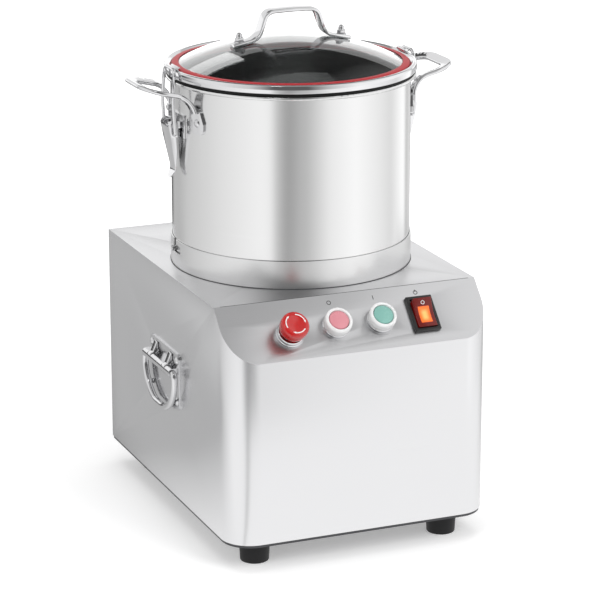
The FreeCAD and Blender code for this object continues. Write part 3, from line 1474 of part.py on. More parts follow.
def build_lid_top(dome):
    """The strap handle and the bolts that hold it on the glass."""
    points = strap_path()
    bends = [S.strap_sweep, S.strap_bend, S.strap_foot_out * 2, S.strap_bend, S.strap_sweep]
    path = bent_path(points, bends)
    along = points[1] - points[0]
    section = flat_section(points[0], along.normalize(), Vector(0, 1, 0), S.strap_wide, S.strap_thick)
    strap = swept(path, section)
    bolts = []
    holes = []
    for number, side in enumerate((-1, 1)):
        x = S.lid_bolt_out * side
        washer_round = S.lid_bolt * 2.2
        low = dome_level(S.lid_bolt_out + washer_round, S.glass_thick) - 1.6
        seat = dome_level(S.lid_bolt_out) + S.strap_thick + 1.8
        shaft = cylinder(f"lid_bolt_{number}", S.lid_bolt, seat + 2 - low, x=x, y=pot_y, z=low)
        washer = cylinder(f"lid_washer_{number}", washer_round, 1.6, x=x, y=pot_y, z=low)
        nut = hexagon(f"lid_nut_{number}", S.lid_bolt * 3.4, 4.0, x=x, y=pot_y, z=seat)
        cap = cone(f"lid_cap_{number}", S.lid_bolt * 1.4, S.lid_bolt * 0.8, 5.0, x=x, y=pot_y, z=seat + 4)
        bolts.append(fuse(f"lid_bolt_whole_{number}", shaft, washer, nut, cap))
        way = seat - low
        loose = S.lid_bolt + S.seat_gap
        holes.append(cylinder(f"lid_hole_{number}", loose, way * 3, x=x, y=pot_y, z=low - way))
    keep(cut("lid_dome", dome, *holes), "lid_dome")
    keep(cut("lid_handle", shaped("strap", strap), *holes), "lid_handle")
    keep(group("lid_handle_bolts", *bolts), "lid_handle_bolts")
    start = pot_y - S.catch_wide / 2
    lip_x = S.seal_outer + 3.2
    lip_z = rim_top + S.catch_sheet - 0.2
    foot = Vector(S.seal_outer + 1.2, start, rim_top)
    catch = Part.makeBox(S.catch_reach, S.catch_wide, S.catch_sheet, foot)
    lip = Part.makeCylinder(S.catch_lip, S.catch_wide, Vector(lip_x, start, lip_z), Vector(0, 1, 0))
    hook = shaped("catch_right", catch.fuse(lip).removeSplitter())
    keep(group("lid_catches", hook, half_turned("catch_left", hook)), "lid_catches")


# Knife


def blade_face(angle):
    """One S-shaped double blade seen from above, turned by an angle."""
    reach = S.blade_reach
    arms = []
    for turn in (0, 180):
        root_low = Vector(6, -15, 0)
        root_high = Vector(6, 17, 0)
        tip = Vector(reach * 0.86, reach * 0.50, 0)
        belly = Part.Arc(root_low, Vector(reach * 0.70, -3, 0), tip).toShape()
        back = Part.Arc(tip, Vector(reach * 0.55, reach * 0.26, 0), root_high).toShape()
        closing = Part.LineSegment(root_high, root_low).toShape()
        face = Part.Face(Part.Wire([belly, back, closing]))
        face.rotate(Vector(), Vector(0, 0, 1), turn + angle)
        arms.append(face)
    return arms


def build_knife():
    """The hub that covers the pot's tube, two double blades, their spacer and the cap nut."""
    sleeve = tube_round + 1
    low = pot_deck + 2.6
    first = pot_deck + S.blade_first + 3
    second = first + S.blade_thick + S.blade_gap
    nut_low = second + S.blade_thick
    hub_top = tube_top + S.hex_long + 4
    ceiling = tube_top + 1.2
    hub = lathe("hub", [
        (sleeve, low),
        (S.hub_flange, low),
        (S.hub_flange, first),
        (S.hub_core, first),
        (S.hub_core, hub_top),
        (0.0, hub_top),
        (0.0, ceiling),
        (sleeve, ceiling),
    ], y=pot_y)
    socket = hexagon("hub_socket", S.hex_flat + S.slide_gap * 2, S.hex_long + 0.8, y=pot_y, z=ceiling - 1)
    keep(cut("hub_socketed", hub, socket), "knife_hub")
    disc = Part.makeCylinder(S.hub_flange - 1, S.blade_thick)
    eye = Part.makeCylinder(S.hub_core + S.seat_gap, S.blade_thick + 2, Vector(0, 0, -1))
    for name, level, angle in (("knife_lower_blade", first, -20), ("knife_upper_blade", second, 70)):
        plate = disc
        for face in blade_face(angle):
            plate = plate.fuse(face.extrude(Vector(0, 0, S.blade_thick)))
        plate = plate.cut(eye).removeSplitter()
        item = shaped(name, plate)
        item.Placement = Placement(Vector(0, pot_y, level), Rotation())
        keep(item, name)
    spacer_low = first + S.blade_thick
    keep(lathe("spacer", [
        (S.hub_core + S.seat_gap, spacer_low),
        (S.hub_flange - 2, spacer_low),
        (S.hub_flange - 2, second),
        (S.hub_core + S.seat_gap, second),
    ], y=pot_y), "knife_spacer")
    cap_top = hub_top + 6
    nut = lathe("nut", [
        (S.hub_core + S.seat_gap, nut_low),
        (S.hub_flange - 2, nut_low),
        (S.hub_flange - 3, hub_top + 1),
        (S.hub_core - 4, cap_top),
        (0.0, cap_top),
        (0.0, hub_top),
        (S.hub_core + S.seat_gap, hub_top),
    ], y=pot_y)
    soften(nut, 2.5, ring_at(S.hub_core - 4, cap_top))
    keep(nut, "knife_nut")


build_casing()
build_feet()
build_rear()
build_seat()
build_motor()
build_electrics()
build_controls()
build_side_handles()
build_pot()
build_pot_handles()
build_latch_brackets()
build_latches()
build_lid_top(build_lid())
build_knife()
doc.recompute()

failed = [item.Name for item in doc.Objects if {"Invalid", "Error"} & set(item.State)]
if failed:
    raise RuntimeError(f"failed objects: {failed}")
for item in nodes:
    if item.Shape.isNull() or not item.Shape.isValid():
        raise RuntimeError(f"{item.Label}: bad shape")
for item in nodes:
    item.Shape.exportStep(f"parts/{item.Label}.step")
    box = item.Shape.BoundBox
    reach = [round(value, 1) for value in (box.XMin, box.XMax, box.YMin, box.YMax, box.ZMin, box.ZMax)]
    print(f"{item.Label:22s} solids {len(item.Shape.Solids)} volume {item.Shape.Volume:10.0f} box {reach}")
print(len(nodes), "nodes")
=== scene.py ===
"""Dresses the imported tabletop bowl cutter: finer pieces, finishes, lights and camera."""

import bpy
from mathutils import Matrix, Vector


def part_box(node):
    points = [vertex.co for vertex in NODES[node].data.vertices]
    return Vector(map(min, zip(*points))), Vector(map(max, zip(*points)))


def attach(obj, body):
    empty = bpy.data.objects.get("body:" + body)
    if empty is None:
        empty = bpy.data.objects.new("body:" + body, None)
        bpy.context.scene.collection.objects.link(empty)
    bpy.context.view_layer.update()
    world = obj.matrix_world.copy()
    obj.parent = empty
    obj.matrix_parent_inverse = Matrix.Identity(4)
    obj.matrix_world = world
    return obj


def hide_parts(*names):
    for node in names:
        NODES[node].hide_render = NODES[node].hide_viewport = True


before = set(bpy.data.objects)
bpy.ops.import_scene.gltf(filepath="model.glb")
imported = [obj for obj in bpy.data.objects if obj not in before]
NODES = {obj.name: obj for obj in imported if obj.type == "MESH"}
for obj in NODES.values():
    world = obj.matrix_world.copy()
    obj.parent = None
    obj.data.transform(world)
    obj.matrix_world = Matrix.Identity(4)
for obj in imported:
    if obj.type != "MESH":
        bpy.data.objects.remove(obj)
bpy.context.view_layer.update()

import math

import bmesh
import bpy
from bpy.props import FloatProperty, FloatVectorProperty, IntProperty, PointerProperty
from mathutils import Vector

bl_info = {
    "name": "Bowl cutter dresser",
    "version": (1, 0, 0),
    "blender": (4, 5, 0),
    "location": "3D View > Sidebar > Cutter",
    "description": "Models and finishes the visible pieces of a tabletop bowl cutter",
    "category": "Object",
}

MM = 0.001
POT_Y = 9.0


# Sizes and colours that a user would change


class CutterSizes(bpy.types.PropertyGroup):
    """How finely the turned pieces are cut, and the sizes of the lid's glass and strap, in metres."""

    around: IntProperty(
        name="Steps around", description="Faces round each turned piece", default=160, min=32
    )
    glass_round: FloatProperty(
        name="Dome radius",
        description="Radius of the glass dome's outer face",
        default=0.278,
        min=0.15,
        unit="LENGTH",
    )
    glass_thick: FloatProperty(
        name="Glass thickness",
        description="Thickness of the glass dome",
        default=0.004,
        min=0.001,
        max=0.01,
        unit="LENGTH",
    )
    strap_thick: FloatProperty(
        name="Strap thickness",
        description="Thickness of the lid's strap",
        default=0.004,
        min=0.001,
        max=0.01,
        unit="LENGTH",
    )
    strap_wide: FloatProperty(
        name="Strap width",
        description="Width of the lid's strap",
        default=0.015,
        min=0.005,
        max=0.05,
        unit="LENGTH",
    )


class CutterFinish(bpy.types.PropertyGroup):
    """Colours of the finishes, and strengths of the studio's light."""

    casing_tone: FloatVectorProperty(
        name="Casing steel",
        description="Base colour of the folded casing",
        subtype="COLOR",
        default=(0.72, 0.72, 0.73),
    )
    pot_tone: FloatVectorProperty(
        name="Bowl steel",
        description="Base colour of the bowl and its collar",
        subtype="COLOR",
        default=(0.74, 0.74, 0.74),
    )
    bright_tone: FloatVectorProperty(
        name="Bright steel",
        description="Base colour of polished fittings",
        subtype="COLOR",
        default=(0.72, 0.72, 0.73),
    )
    seal_red: FloatVectorProperty(
        name="Seal ring",
        description="Colour of the lid's seal ring",
        subtype="COLOR",
        default=(0.43, 0.010, 0.018),
    )
    knob_red: FloatVectorProperty(
        name="Stop knob",
        description="Colour of the stop knob",
        subtype="COLOR",
        default=(0.52, 0.007, 0.007),
    )
    stop_tone: FloatVectorProperty(
        name="Stop button",
        description="Colour of the stop button",
        subtype="COLOR",
        default=(0.70, 0.27, 0.31),
    )
    start_tone: FloatVectorProperty(
        name="Start button",
        description="Colour of the start button",
        subtype="COLOR",
        default=(0.22, 0.47, 0.41),
    )
    glass_tone: FloatVectorProperty(
        name="Lid glass",
        description="Tint of the glass dome",
        subtype="COLOR",
        default=(0.50, 0.52, 0.52),
    )
    lamp_power: FloatProperty(
        name="Lamp power", description="Strength of the soft lamps", default=1.0, min=0.0
    )
    world_light: FloatProperty(
        name="World light", description="Strength of the light all round", default=0.5, min=0.0
    )
    overhead: FloatProperty(
        name="Overhead", description="Brightness that metal sees overhead", default=0.44, min=0.0
    )


# Shader expressions


class Tone:
    """A node socket that ordinary arithmetic adds Math nodes to."""

    def __init__(self, sheet, socket):
        self.sheet = sheet
        self.socket = socket

    def _math(self, kind, *values):
        return self.sheet.node("ShaderNodeMath", {"operation": kind}, dict(enumerate(values)))

    def __add__(self, other):
        return self._math("ADD", self, other)

    __radd__ = __add__

    def __sub__(self, other):
        return self._math("SUBTRACT", self, other)

    def __rsub__(self, other):
        return self._math("SUBTRACT", other, self)

    def __mul__(self, other):
        return self._math("MULTIPLY", self, other)

    __rmul__ = __mul__

    def __truediv__(self, other):
        return self._math("DIVIDE", self, other)

    def __abs__(self):
        return self._math("ABSOLUTE", self)

    def above(self, edge):
        """One where the value is above an edge."""
        return self._math("GREATER_THAN", self, edge)

    def least(self, other):
        """The smaller of two values."""
        return self._math("MINIMUM", self, other)

    def most(self, other):
        """The larger of two values."""
        return self._math("MAXIMUM", self, other)

    def power(self, other):
        """The value raised to a power."""
        return self._math("POWER", self, other)

    def held(self):
        """The value kept between nothing and one."""
        return self.least(1.0).most(0.0)

    def ramped(self, low, high, kind="LINEAR"):
        """Nothing at one value of the input, and one at another."""
        inputs = {"Value": self, "From Min": low, "From Max": high}
        return self.sheet.node("ShaderNodeMapRange", {"interpolation_type": kind}, inputs)


class Sheet:
    """A node tree and the ways to add nodes to it."""

    def __init__(self, tree):
        self.nodes = tree.nodes
        self.links = tree.links

    def _fill(self, target, value):
        if isinstance(value, Tone):
            self.links.new(value.socket, target)
        elif target.type == "RGBA" and len(value) == 3:
            target.default_value = (*value, 1.0)
        else:
            target.default_value = value

    def node(self, kind, settings=None, inputs=None, output=0):
        """Adds a node: its settings first, then the values or links of its sockets."""
        item = self.nodes.new(kind)
        for name, value in (settings or {}).items():
            if name == "stops":
                ramp = item.color_ramp
                while len(ramp.elements) < len(value):
                    ramp.elements.new(0.5)
                for element, (place, colour) in zip(ramp.elements, value):
                    element.position = place
                    element.color = (*colour, 1.0)
            else:
                setattr(item, name, value)
        for name, value in (inputs or {}).items():
            self._fill(item.inputs[name], value)
        return Tone(self, item.outputs[output])

    def place(self):
        """The object's own coordinates, in metres."""
        return self.node("ShaderNodeTexCoord", output="Object")

    def axes(self, vector=None):
        """The three numbers of a vector."""
        item = self.nodes.new("ShaderNodeSeparateXYZ")
        self.links.new((vector or self.place()).socket, item.inputs[0])
        return [Tone(self, output) for output in item.outputs]

    def ray(self, kind):
        """One where the ray that looks is of a kind."""
        return self.node("ShaderNodeLightPath", output=f"Is {kind} Ray")

    def ended(self, factor, first, second, output):
        """Ends the tree in one shader where the factor is nothing, and in another where it is one."""
        end = self.node("ShaderNodeMixShader", {}, {0: factor, 1: first, 2: second})
        self.links.new(end.socket, self.nodes[output].inputs["Surface"])

    def noise(self, scale, detail=2.0, stretch=(1, 1, 1)):
        """A noise value, stretched along an axis if wanted."""
        where = self.node("ShaderNodeMapping", {}, {"Vector": self.place(), "Scale": stretch})
        inputs = {"Vector": where, "Scale": scale, "Detail": detail}
        return self.node("ShaderNodeTexNoise", {}, inputs, "Fac")

    def mixed(self, factor, first, second):
        """A colour between two colours."""
        item = self.nodes.new("ShaderNodeMix")
        item.data_type = "RGBA"
        for index, value in ((0, factor), (6, first), (7, second)):
            self._fill(item.inputs[index], value)
        return Tone(self, item.outputs[2])

    def bump(self, height, strength, depth):
        """A bumped normal."""
        inputs = {"Height": height, "Strength": strength, "Distance": depth}
        return self.node("ShaderNodeBump", {}, inputs)


class Finish(Sheet):
    """One material and its main shader."""

    def __init__(self, name, **settings):
        self.material = bpy.data.materials.new(name)
        self.material.use_nodes = True
        super().__init__(self.material.node_tree)
        self.shader = self.nodes["Principled BSDF"]
        for socket, value in settings.items():
            self.put(socket.replace("_", " "), value)

    def put(self, socket, value):
        """Sets or links one input of the shader, matched without regard to capitals."""
        target = next(item for item in self.shader.inputs if item.name.lower() == socket.lower())
        self._fill(target, value)


def shade(tone, amount):
    """A colour made lighter or darker."""
    return tuple(min(1.0, channel * amount) for channel in tone)


HAIR_SPREAD = 0.035
HAIR_DEPTH = 0.1
LYING_DULL = 0.09


def brushed(name, tone, rough, flat_grain, fine=2400.0):
    """Brushed steel: fine hair lines that run level on upright faces and along X on flat, duller ones."""
    finish = Finish(name, metallic=1.0)
    dull = 0.0
    if flat_grain:
        up = abs(finish.axes(finish.node("ShaderNodeNewGeometry", output="Normal"))[2])
        lying = up.above(0.55)
        upright = finish.noise(1.0, 3.0, (6, 6, fine))
        across = finish.noise(1.0, 3.0, (6, fine, 6))
        hair = upright * (1.0 - lying) + across * lying
        dull = lying * LYING_DULL
    else:
        hair = finish.noise(1.0, 3.0, (6, 6, fine))
    cloud = finish.noise(7.0, 3.0)
    dark = shade(tone, 1 - HAIR_SPREAD)
    pale = shade(tone, 1 + HAIR_SPREAD)
    finish.put("base color", finish.mixed(hair * 0.7 + cloud * 0.3, dark, pale))
    finish.put("roughness", hair * 0.08 + cloud * 0.04 + (rough - 0.06) + dull)
    finish.put("normal", finish.bump(hair, HAIR_DEPTH, 0.00002))
    return finish.material


def polished(name, tone, rough=0.08):
    """Polished steel with faint wipe marks."""
    finish = Finish(name, metallic=1.0)
    cloud = finish.noise(40.0, 4.0)
    scratch = finish.noise(1.0, 2.0, (1600, 90, 90))
    finish.put("base color", finish.mixed(cloud, shade(tone, 0.97), shade(tone, 1.02)))
    finish.put("roughness", cloud * 0.04 + scratch * 0.03 + (rough - 0.035))
    finish.put("normal", finish.bump(scratch, 0.05, 0.00001))
    return finish.material


def moulded(name, tone, rough=0.35, grain=0.1, coat=0.0, shine=0.5):
    """Moulded plastic or rubber with a fine skin."""
    finish = Finish(name, metallic=0.0, coat_weight=coat, specular_ior_level=shine)
    speck = finish.noise(900.0, 2.0)
    cloud = finish.noise(25.0, 3.0)
    finish.put("base color", finish.mixed(cloud, shade(tone, 0.93), shade(tone, 1.05)))
    finish.put("roughness", cloud * 0.1 + speck * 0.06 + (rough - 0.08))
    finish.put("normal", finish.bump(speck, grain, 0.00005))
    return finish.material


def glass(name, tone):
    """Clear glass with a faint film."""
    finish = Finish(name, base_color=tone, ior=1.45, transmission_weight=1.0)
    film = finish.noise(30.0, 3.0)
    finish.put("roughness", film * 0.02)
    return finish.material


def dress(node, material):
    """Gives a carried-over node its finish."""
    thing = NODES[node]
    thing.data.materials.clear()
    thing.data.materials.append(material)


class CUTTER_OT_finishes(bpy.types.Operator):
    """Gives every carried-over node its finish"""

    bl_idname = "cutter.finishes"
    bl_label = "Finishes"

    def execute(self, context):
        look = context.scene.cutter_finish
        casing = brushed("casing_steel", look.casing_tone, 0.25, True)
        pot = brushed("bowl_steel", look.pot_tone, 0.17, False)
        bright = polished("bright_steel", look.bright_tone)
        collar = brushed("collar_steel", look.pot_tone, 0.3, False)
        plate = polished("plate_steel", shade(look.bright_tone, 0.90), 0.15)
        bail = polished("bail_steel", shade(look.bright_tone, 0.92), 0.1)
        fastener = polished("fastener_steel", shade(look.bright_tone, 0.9), 0.14)
        kinds = {
            casing: ["casing_shell", "rear_panel"],
            pot: ["bowl"],
            collar: ["bowl_collar"],
            bright: [
                "lid_rim", "lid_handle", "lid_catches", "bowl_handle_left", "bowl_handle_right",
                "latch_brackets", "latch_lever_left", "latch_lever_right", "latch_wire_left",
                "latch_wire_right",
            ],
            bail: ["bail_left", "bail_right"],
            plate: ["side_plate_left", "side_plate_right"],
            fastener: [
                "foot_screws", "rear_panel_screws", "collar_screws", "motor_bolts", "side_rivets",
                "bowl_handle_rivets", "bayonet_studs", "latch_pins", "lid_handle_bolts", "panel_nuts",
            ],
            brushed("knife_steel", (0.78, 0.78, 0.78), 0.2, True, 900.0): [
                "knife_lower_blade", "knife_upper_blade",
            ],
            moulded("hub_plastic", (0.8, 0.8, 0.78), 0.4): ["knife_hub", "knife_spacer", "knife_nut"],
            moulded("base_paint", (0.05, 0.05, 0.055), 0.45): ["base_plate"],
            moulded("foot_rubber", (0.012, 0.012, 0.013), 0.6, 0.25, 0.0, 0.3): ["rubber_feet"],
            moulded("gasket_rubber", (0.006, 0.006, 0.006), 0.6, 0.2, 0.0, 0.2): ["lid_gasket", "shaft_seal"],
            moulded("seal_silicone", look.seal_red, 0.42, 0.05, 0.0, 0.3): ["lid_seal_ring"],
            glass("lid_glass", look.glass_tone): ["lid_dome"],
            moulded("slip_nylon", (0.85, 0.85, 0.82), 0.5): ["slip_ring"],
            moulded("gland_plastic", (0.03, 0.03, 0.03), 0.5): ["cable_gland"],
            brushed("motor_alloy", (0.5, 0.51, 0.52), 0.5, False, 120.0): [
                "motor_housing", "motor_flange", "motor_end_shield",
            ],
            brushed("core_iron", (0.25, 0.25, 0.26), 0.55, False, 900.0): ["rotor_core", "stator_core"],
            polished("shaft_steel", (0.6, 0.6, 0.61), 0.2): ["motor_shaft", "motor_bearings"],
            moulded("fan_plastic", (0.06, 0.06, 0.065), 0.5): ["cooling_fan", "contact_blocks"],
            moulded("capacitor_shell", (0.72, 0.72, 0.70), 0.3): ["run_capacitor"],
            moulded("box_plastic", (0.5, 0.51, 0.52), 0.5): ["terminal_box"],
        }
        for material, members in kinds.items():
            for node in members:
                dress(node, material)
        return {"FINISHED"}


# Modelling


def alone(thing):
    """Leaves one object selected and active."""
    bpy.ops.object.select_all(action="DESELECT")
    thing.select_set(True)
    bpy.context.view_layer.objects.active = thing


def started(name, spot):
    """A plane drawn together to one point, in millimetres, and left in edit mode."""
    bpy.ops.object.select_all(action="DESELECT")
    bpy.ops.mesh.primitive_plane_add(size=MM, location=(0, 0, 0))
    thing = bpy.context.object
    thing.name = name
    bpy.ops.object.mode_set(mode="EDIT")
    bpy.ops.mesh.merge(type="CENTER")
    bpy.ops.transform.translate(value=Vector(spot) * MM)
    return thing


def drawn(points):
    """Extrudes the selected point from each place to the next, in millimetres."""
    for here, there in zip(points, points[1:]):
        step = (Vector(there) - Vector(here)) * MM
        bpy.ops.mesh.extrude_vertices_move(TRANSFORM_OT_translate={"value": step})


def fixed(thing):
    """Moves a piece's place, turn and scale into its mesh."""
    alone(thing)
    bpy.ops.object.transform_apply(location=True, rotation=True, scale=True)


def joined_up():
    """Merges what meets, faces everything outwards and leaves edit mode."""
    bpy.ops.mesh.select_all(action="SELECT")
    bpy.ops.mesh.remove_doubles(threshold=MM / 100)
    bpy.ops.mesh.normals_make_consistent(inside=False)
    bpy.ops.object.mode_set(mode="OBJECT")


def turned(name, profile, middle=(0, 0), steps=0):
    """Turns a profile of radii and heights, in millimetres, about an upright axis."""
    points = [(radius, 0, height) for radius, height in profile]
    if profile[0][0] > 0 or profile[-1][0] > 0:
        points.append(points[0])
    thing = started(name, points[0])
    drawn(points)
    bpy.ops.mesh.select_all(action="SELECT")
    steps = steps or bpy.context.scene.cutter_sizes.around
    bpy.ops.mesh.spin(steps=steps, angle=math.tau, center=(0, 0, 0), axis=(0, 0, 1))
    joined_up()
    thing.location = Vector((*middle, 0)) * MM
    return thing


def cut_out(name, outline, low, deep):
    """A flat plate with an outline across and along, in millimetres, standing on a height."""
    points = [(across, along, low) for across, along in outline]
    thing = started(name, points[0])
    drawn(points)
    bpy.ops.mesh.select_all(action="SELECT")
    bpy.ops.mesh.edge_face_add()
    bpy.ops.mesh.extrude_region_move(TRANSFORM_OT_translate={"value": (0, 0, deep * MM)})
    joined_up()
    return thing


def tray(name, wide, long, low, high, wall, deep):
    """A box between two heights, in millimetres, with a pocket in its top."""
    bpy.ops.object.select_all(action="DESELECT")
    middle = (low + high) / 2
    bpy.ops.mesh.primitive_cube_add(size=MM, location=(0, 0, middle * MM), scale=(wide, long, high - low))
    thing = bpy.context.object
    thing.name = name
    bpy.ops.object.transform_apply(location=True, rotation=True, scale=True)
    bpy.ops.object.mode_set(mode="EDIT")
    bpy.ops.mesh.select_mode(type="FACE")
    mesh = bmesh.from_edit_mesh(thing.data)
    for face in mesh.faces:
        face.select_set(face.normal.z > 0.5)
    bmesh.update_edit_mesh(thing.data)
    bpy.ops.mesh.inset(thickness=wall * MM)
    bpy.ops.mesh.extrude_region_move(TRANSFORM_OT_translate={"value": (0, 0, -deep * MM)})
    bpy.ops.mesh.select_mode(type="VERT")
    bpy.ops.object.mode_set(mode="OBJECT")
    return thing


def softened(node, name):
    """A copy of a CAD node, merged, with its flat faces made whole."""
    bpy.ops.object.select_all(action="DESELECT")
    bpy.ops.mesh.primitive_plane_add(size=MM, location=(0, 0, 0))
    thing = bpy.context.object
    thing.name = name
    spare = thing.data
    thing.data = NODES[node].data.copy()
    bpy.data.meshes.remove(spare)
    bpy.ops.object.mode_set(mode="EDIT")
    bpy.ops.mesh.select_all(action="SELECT")
    bpy.ops.mesh.remove_doubles(threshold=MM / 100)
    bpy.ops.mesh.dissolve_limited(angle_limit=math.radians(0.5))
    bpy.ops.object.mode_set(mode="OBJECT")
    return thing


# Edges that turn by more than this are rounded, and stay sharp in the shading
SHARP = math.radians(32)


def settled(thing, body, slot, material, stands_for=(), edge=0.0, cuts=3):
    """Rounds the edges, fixes the place in the mesh, and gives the finish and what the piece rides on."""
    fixed(thing)
    if edge:
        rounding = thing.modifiers.new("edges", "BEVEL")
        rounding.width = edge * MM
        rounding.segments = cuts
        rounding.limit_method = "ANGLE"
        rounding.angle_limit = SHARP
        bpy.ops.object.modifier_apply(modifier=rounding.name)
    bpy.ops.object.shade_smooth_by_angle(angle=SHARP)
    thing.data.materials.clear()
    thing.data.materials.append(material)
    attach(thing, body)
    if stands_for:
        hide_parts(*stands_for)
    return thing


# Controls on the raked panel


PANEL_RUN = 48.0
PANEL_DROP = 49.0
PANEL_TILT = math.atan2(PANEL_DROP, PANEL_RUN)
CREASE_Y = -140.0
CREASE_Z = 272.0
PLACES = {"knob": (-74.0, 40.0), "stop": (-22.3, 36.2), "start": (26.7, 36.2), "rocker": (74.5, 35.5)}
MARK_DOWN = 9.5
MARK_HIGH = 0.06
ROCKER_TIP = 9.0


def on_panel(thing, across, down, tip=0.0):
    """Puts a piece made upright at the origin on the panel, down from its top crease, in millimetres."""
    y = CREASE_Y - math.cos(PANEL_TILT) * down
    z = CREASE_Z - math.sin(PANEL_TILT) * down
    thing.location = Vector((across, y, z)) * MM
    thing.rotation_euler = (PANEL_TILT + math.radians(tip), 0, 0)
    return thing


def arrow(radius, wide, start, sweep):
    """The outline of an arc arrow round the origin."""
    steps = 18
    turns = [start + sweep * step / steps for step in range(steps + 1)]
    outer = [(radius + wide / 2, turn) for turn in turns]
    inner = [(radius - wide / 2, turn) for turn in turns]
    last = start + sweep
    head = [(radius + wide, last), (radius, last + math.copysign(16, sweep)), (radius - wide, last)]
    outline = [
        (away * math.cos(math.radians(turn)), away * math.sin(math.radians(turn)))
        for away, turn in outer + head + inner[::-1]
    ]
    return outline + outline[:1]


def oblong(wide, long, middle=0.0):
    """The outline of a rectangle."""
    half = wide / 2
    low = middle - long / 2
    high = middle + long / 2
    return [(-half, low), (half, low), (half, high), (-half, high), (-half, low)]


def band(inner, outer, low, high):
    """The profile of a plain ring."""
    return [(inner, low), (outer, low), (outer, high), (inner, high)]


def lit_rocker(place):
    """Dark red plastic that a lamp lights through, brightest in the middle of its window."""
    across, down = place
    finish = Finish("rocker_red", metallic=0.0, roughness=0.2, coat_weight=0.25, specular_ior_level=0.35)
    x, y, z = finish.axes()
    rise = math.cos(PANEL_TILT)
    lean = math.sin(PANEL_TILT)
    up = (y - (CREASE_Y - rise * down) * MM) * rise + (z - (CREASE_Z - lean * down) * MM) * lean
    off = abs(x - across * MM)
    grain = finish.noise(260.0, 2.0) * (0.5 * MM)
    side = ((6.4 * MM - off + grain) * 900.0).held()
    ends = ((9.0 * MM - abs(up + 3.2 * MM) + grain) * 900.0).held()
    window = side * ends
    core = ((4.6 * MM - off) * 300.0).held() * ((7.0 * MM - abs(up + 3.6 * MM)) * 250.0).held()
    dark = finish.mixed(finish.noise(300.0, 2.0), (0.09, 0.003, 0.002), (0.13, 0.005, 0.003))
    finish.put("base color", finish.mixed(window, dark, (0.55, 0.10, 0.02)))
    glow = finish.mixed(window, (0.035, 0.0, 0.0), (0.78, 0.12, 0.01))
    finish.put("emission color", finish.mixed(core, glow, (1.0, 0.52, 0.16)))
    finish.put("emission strength", 1.0)
    return finish.material


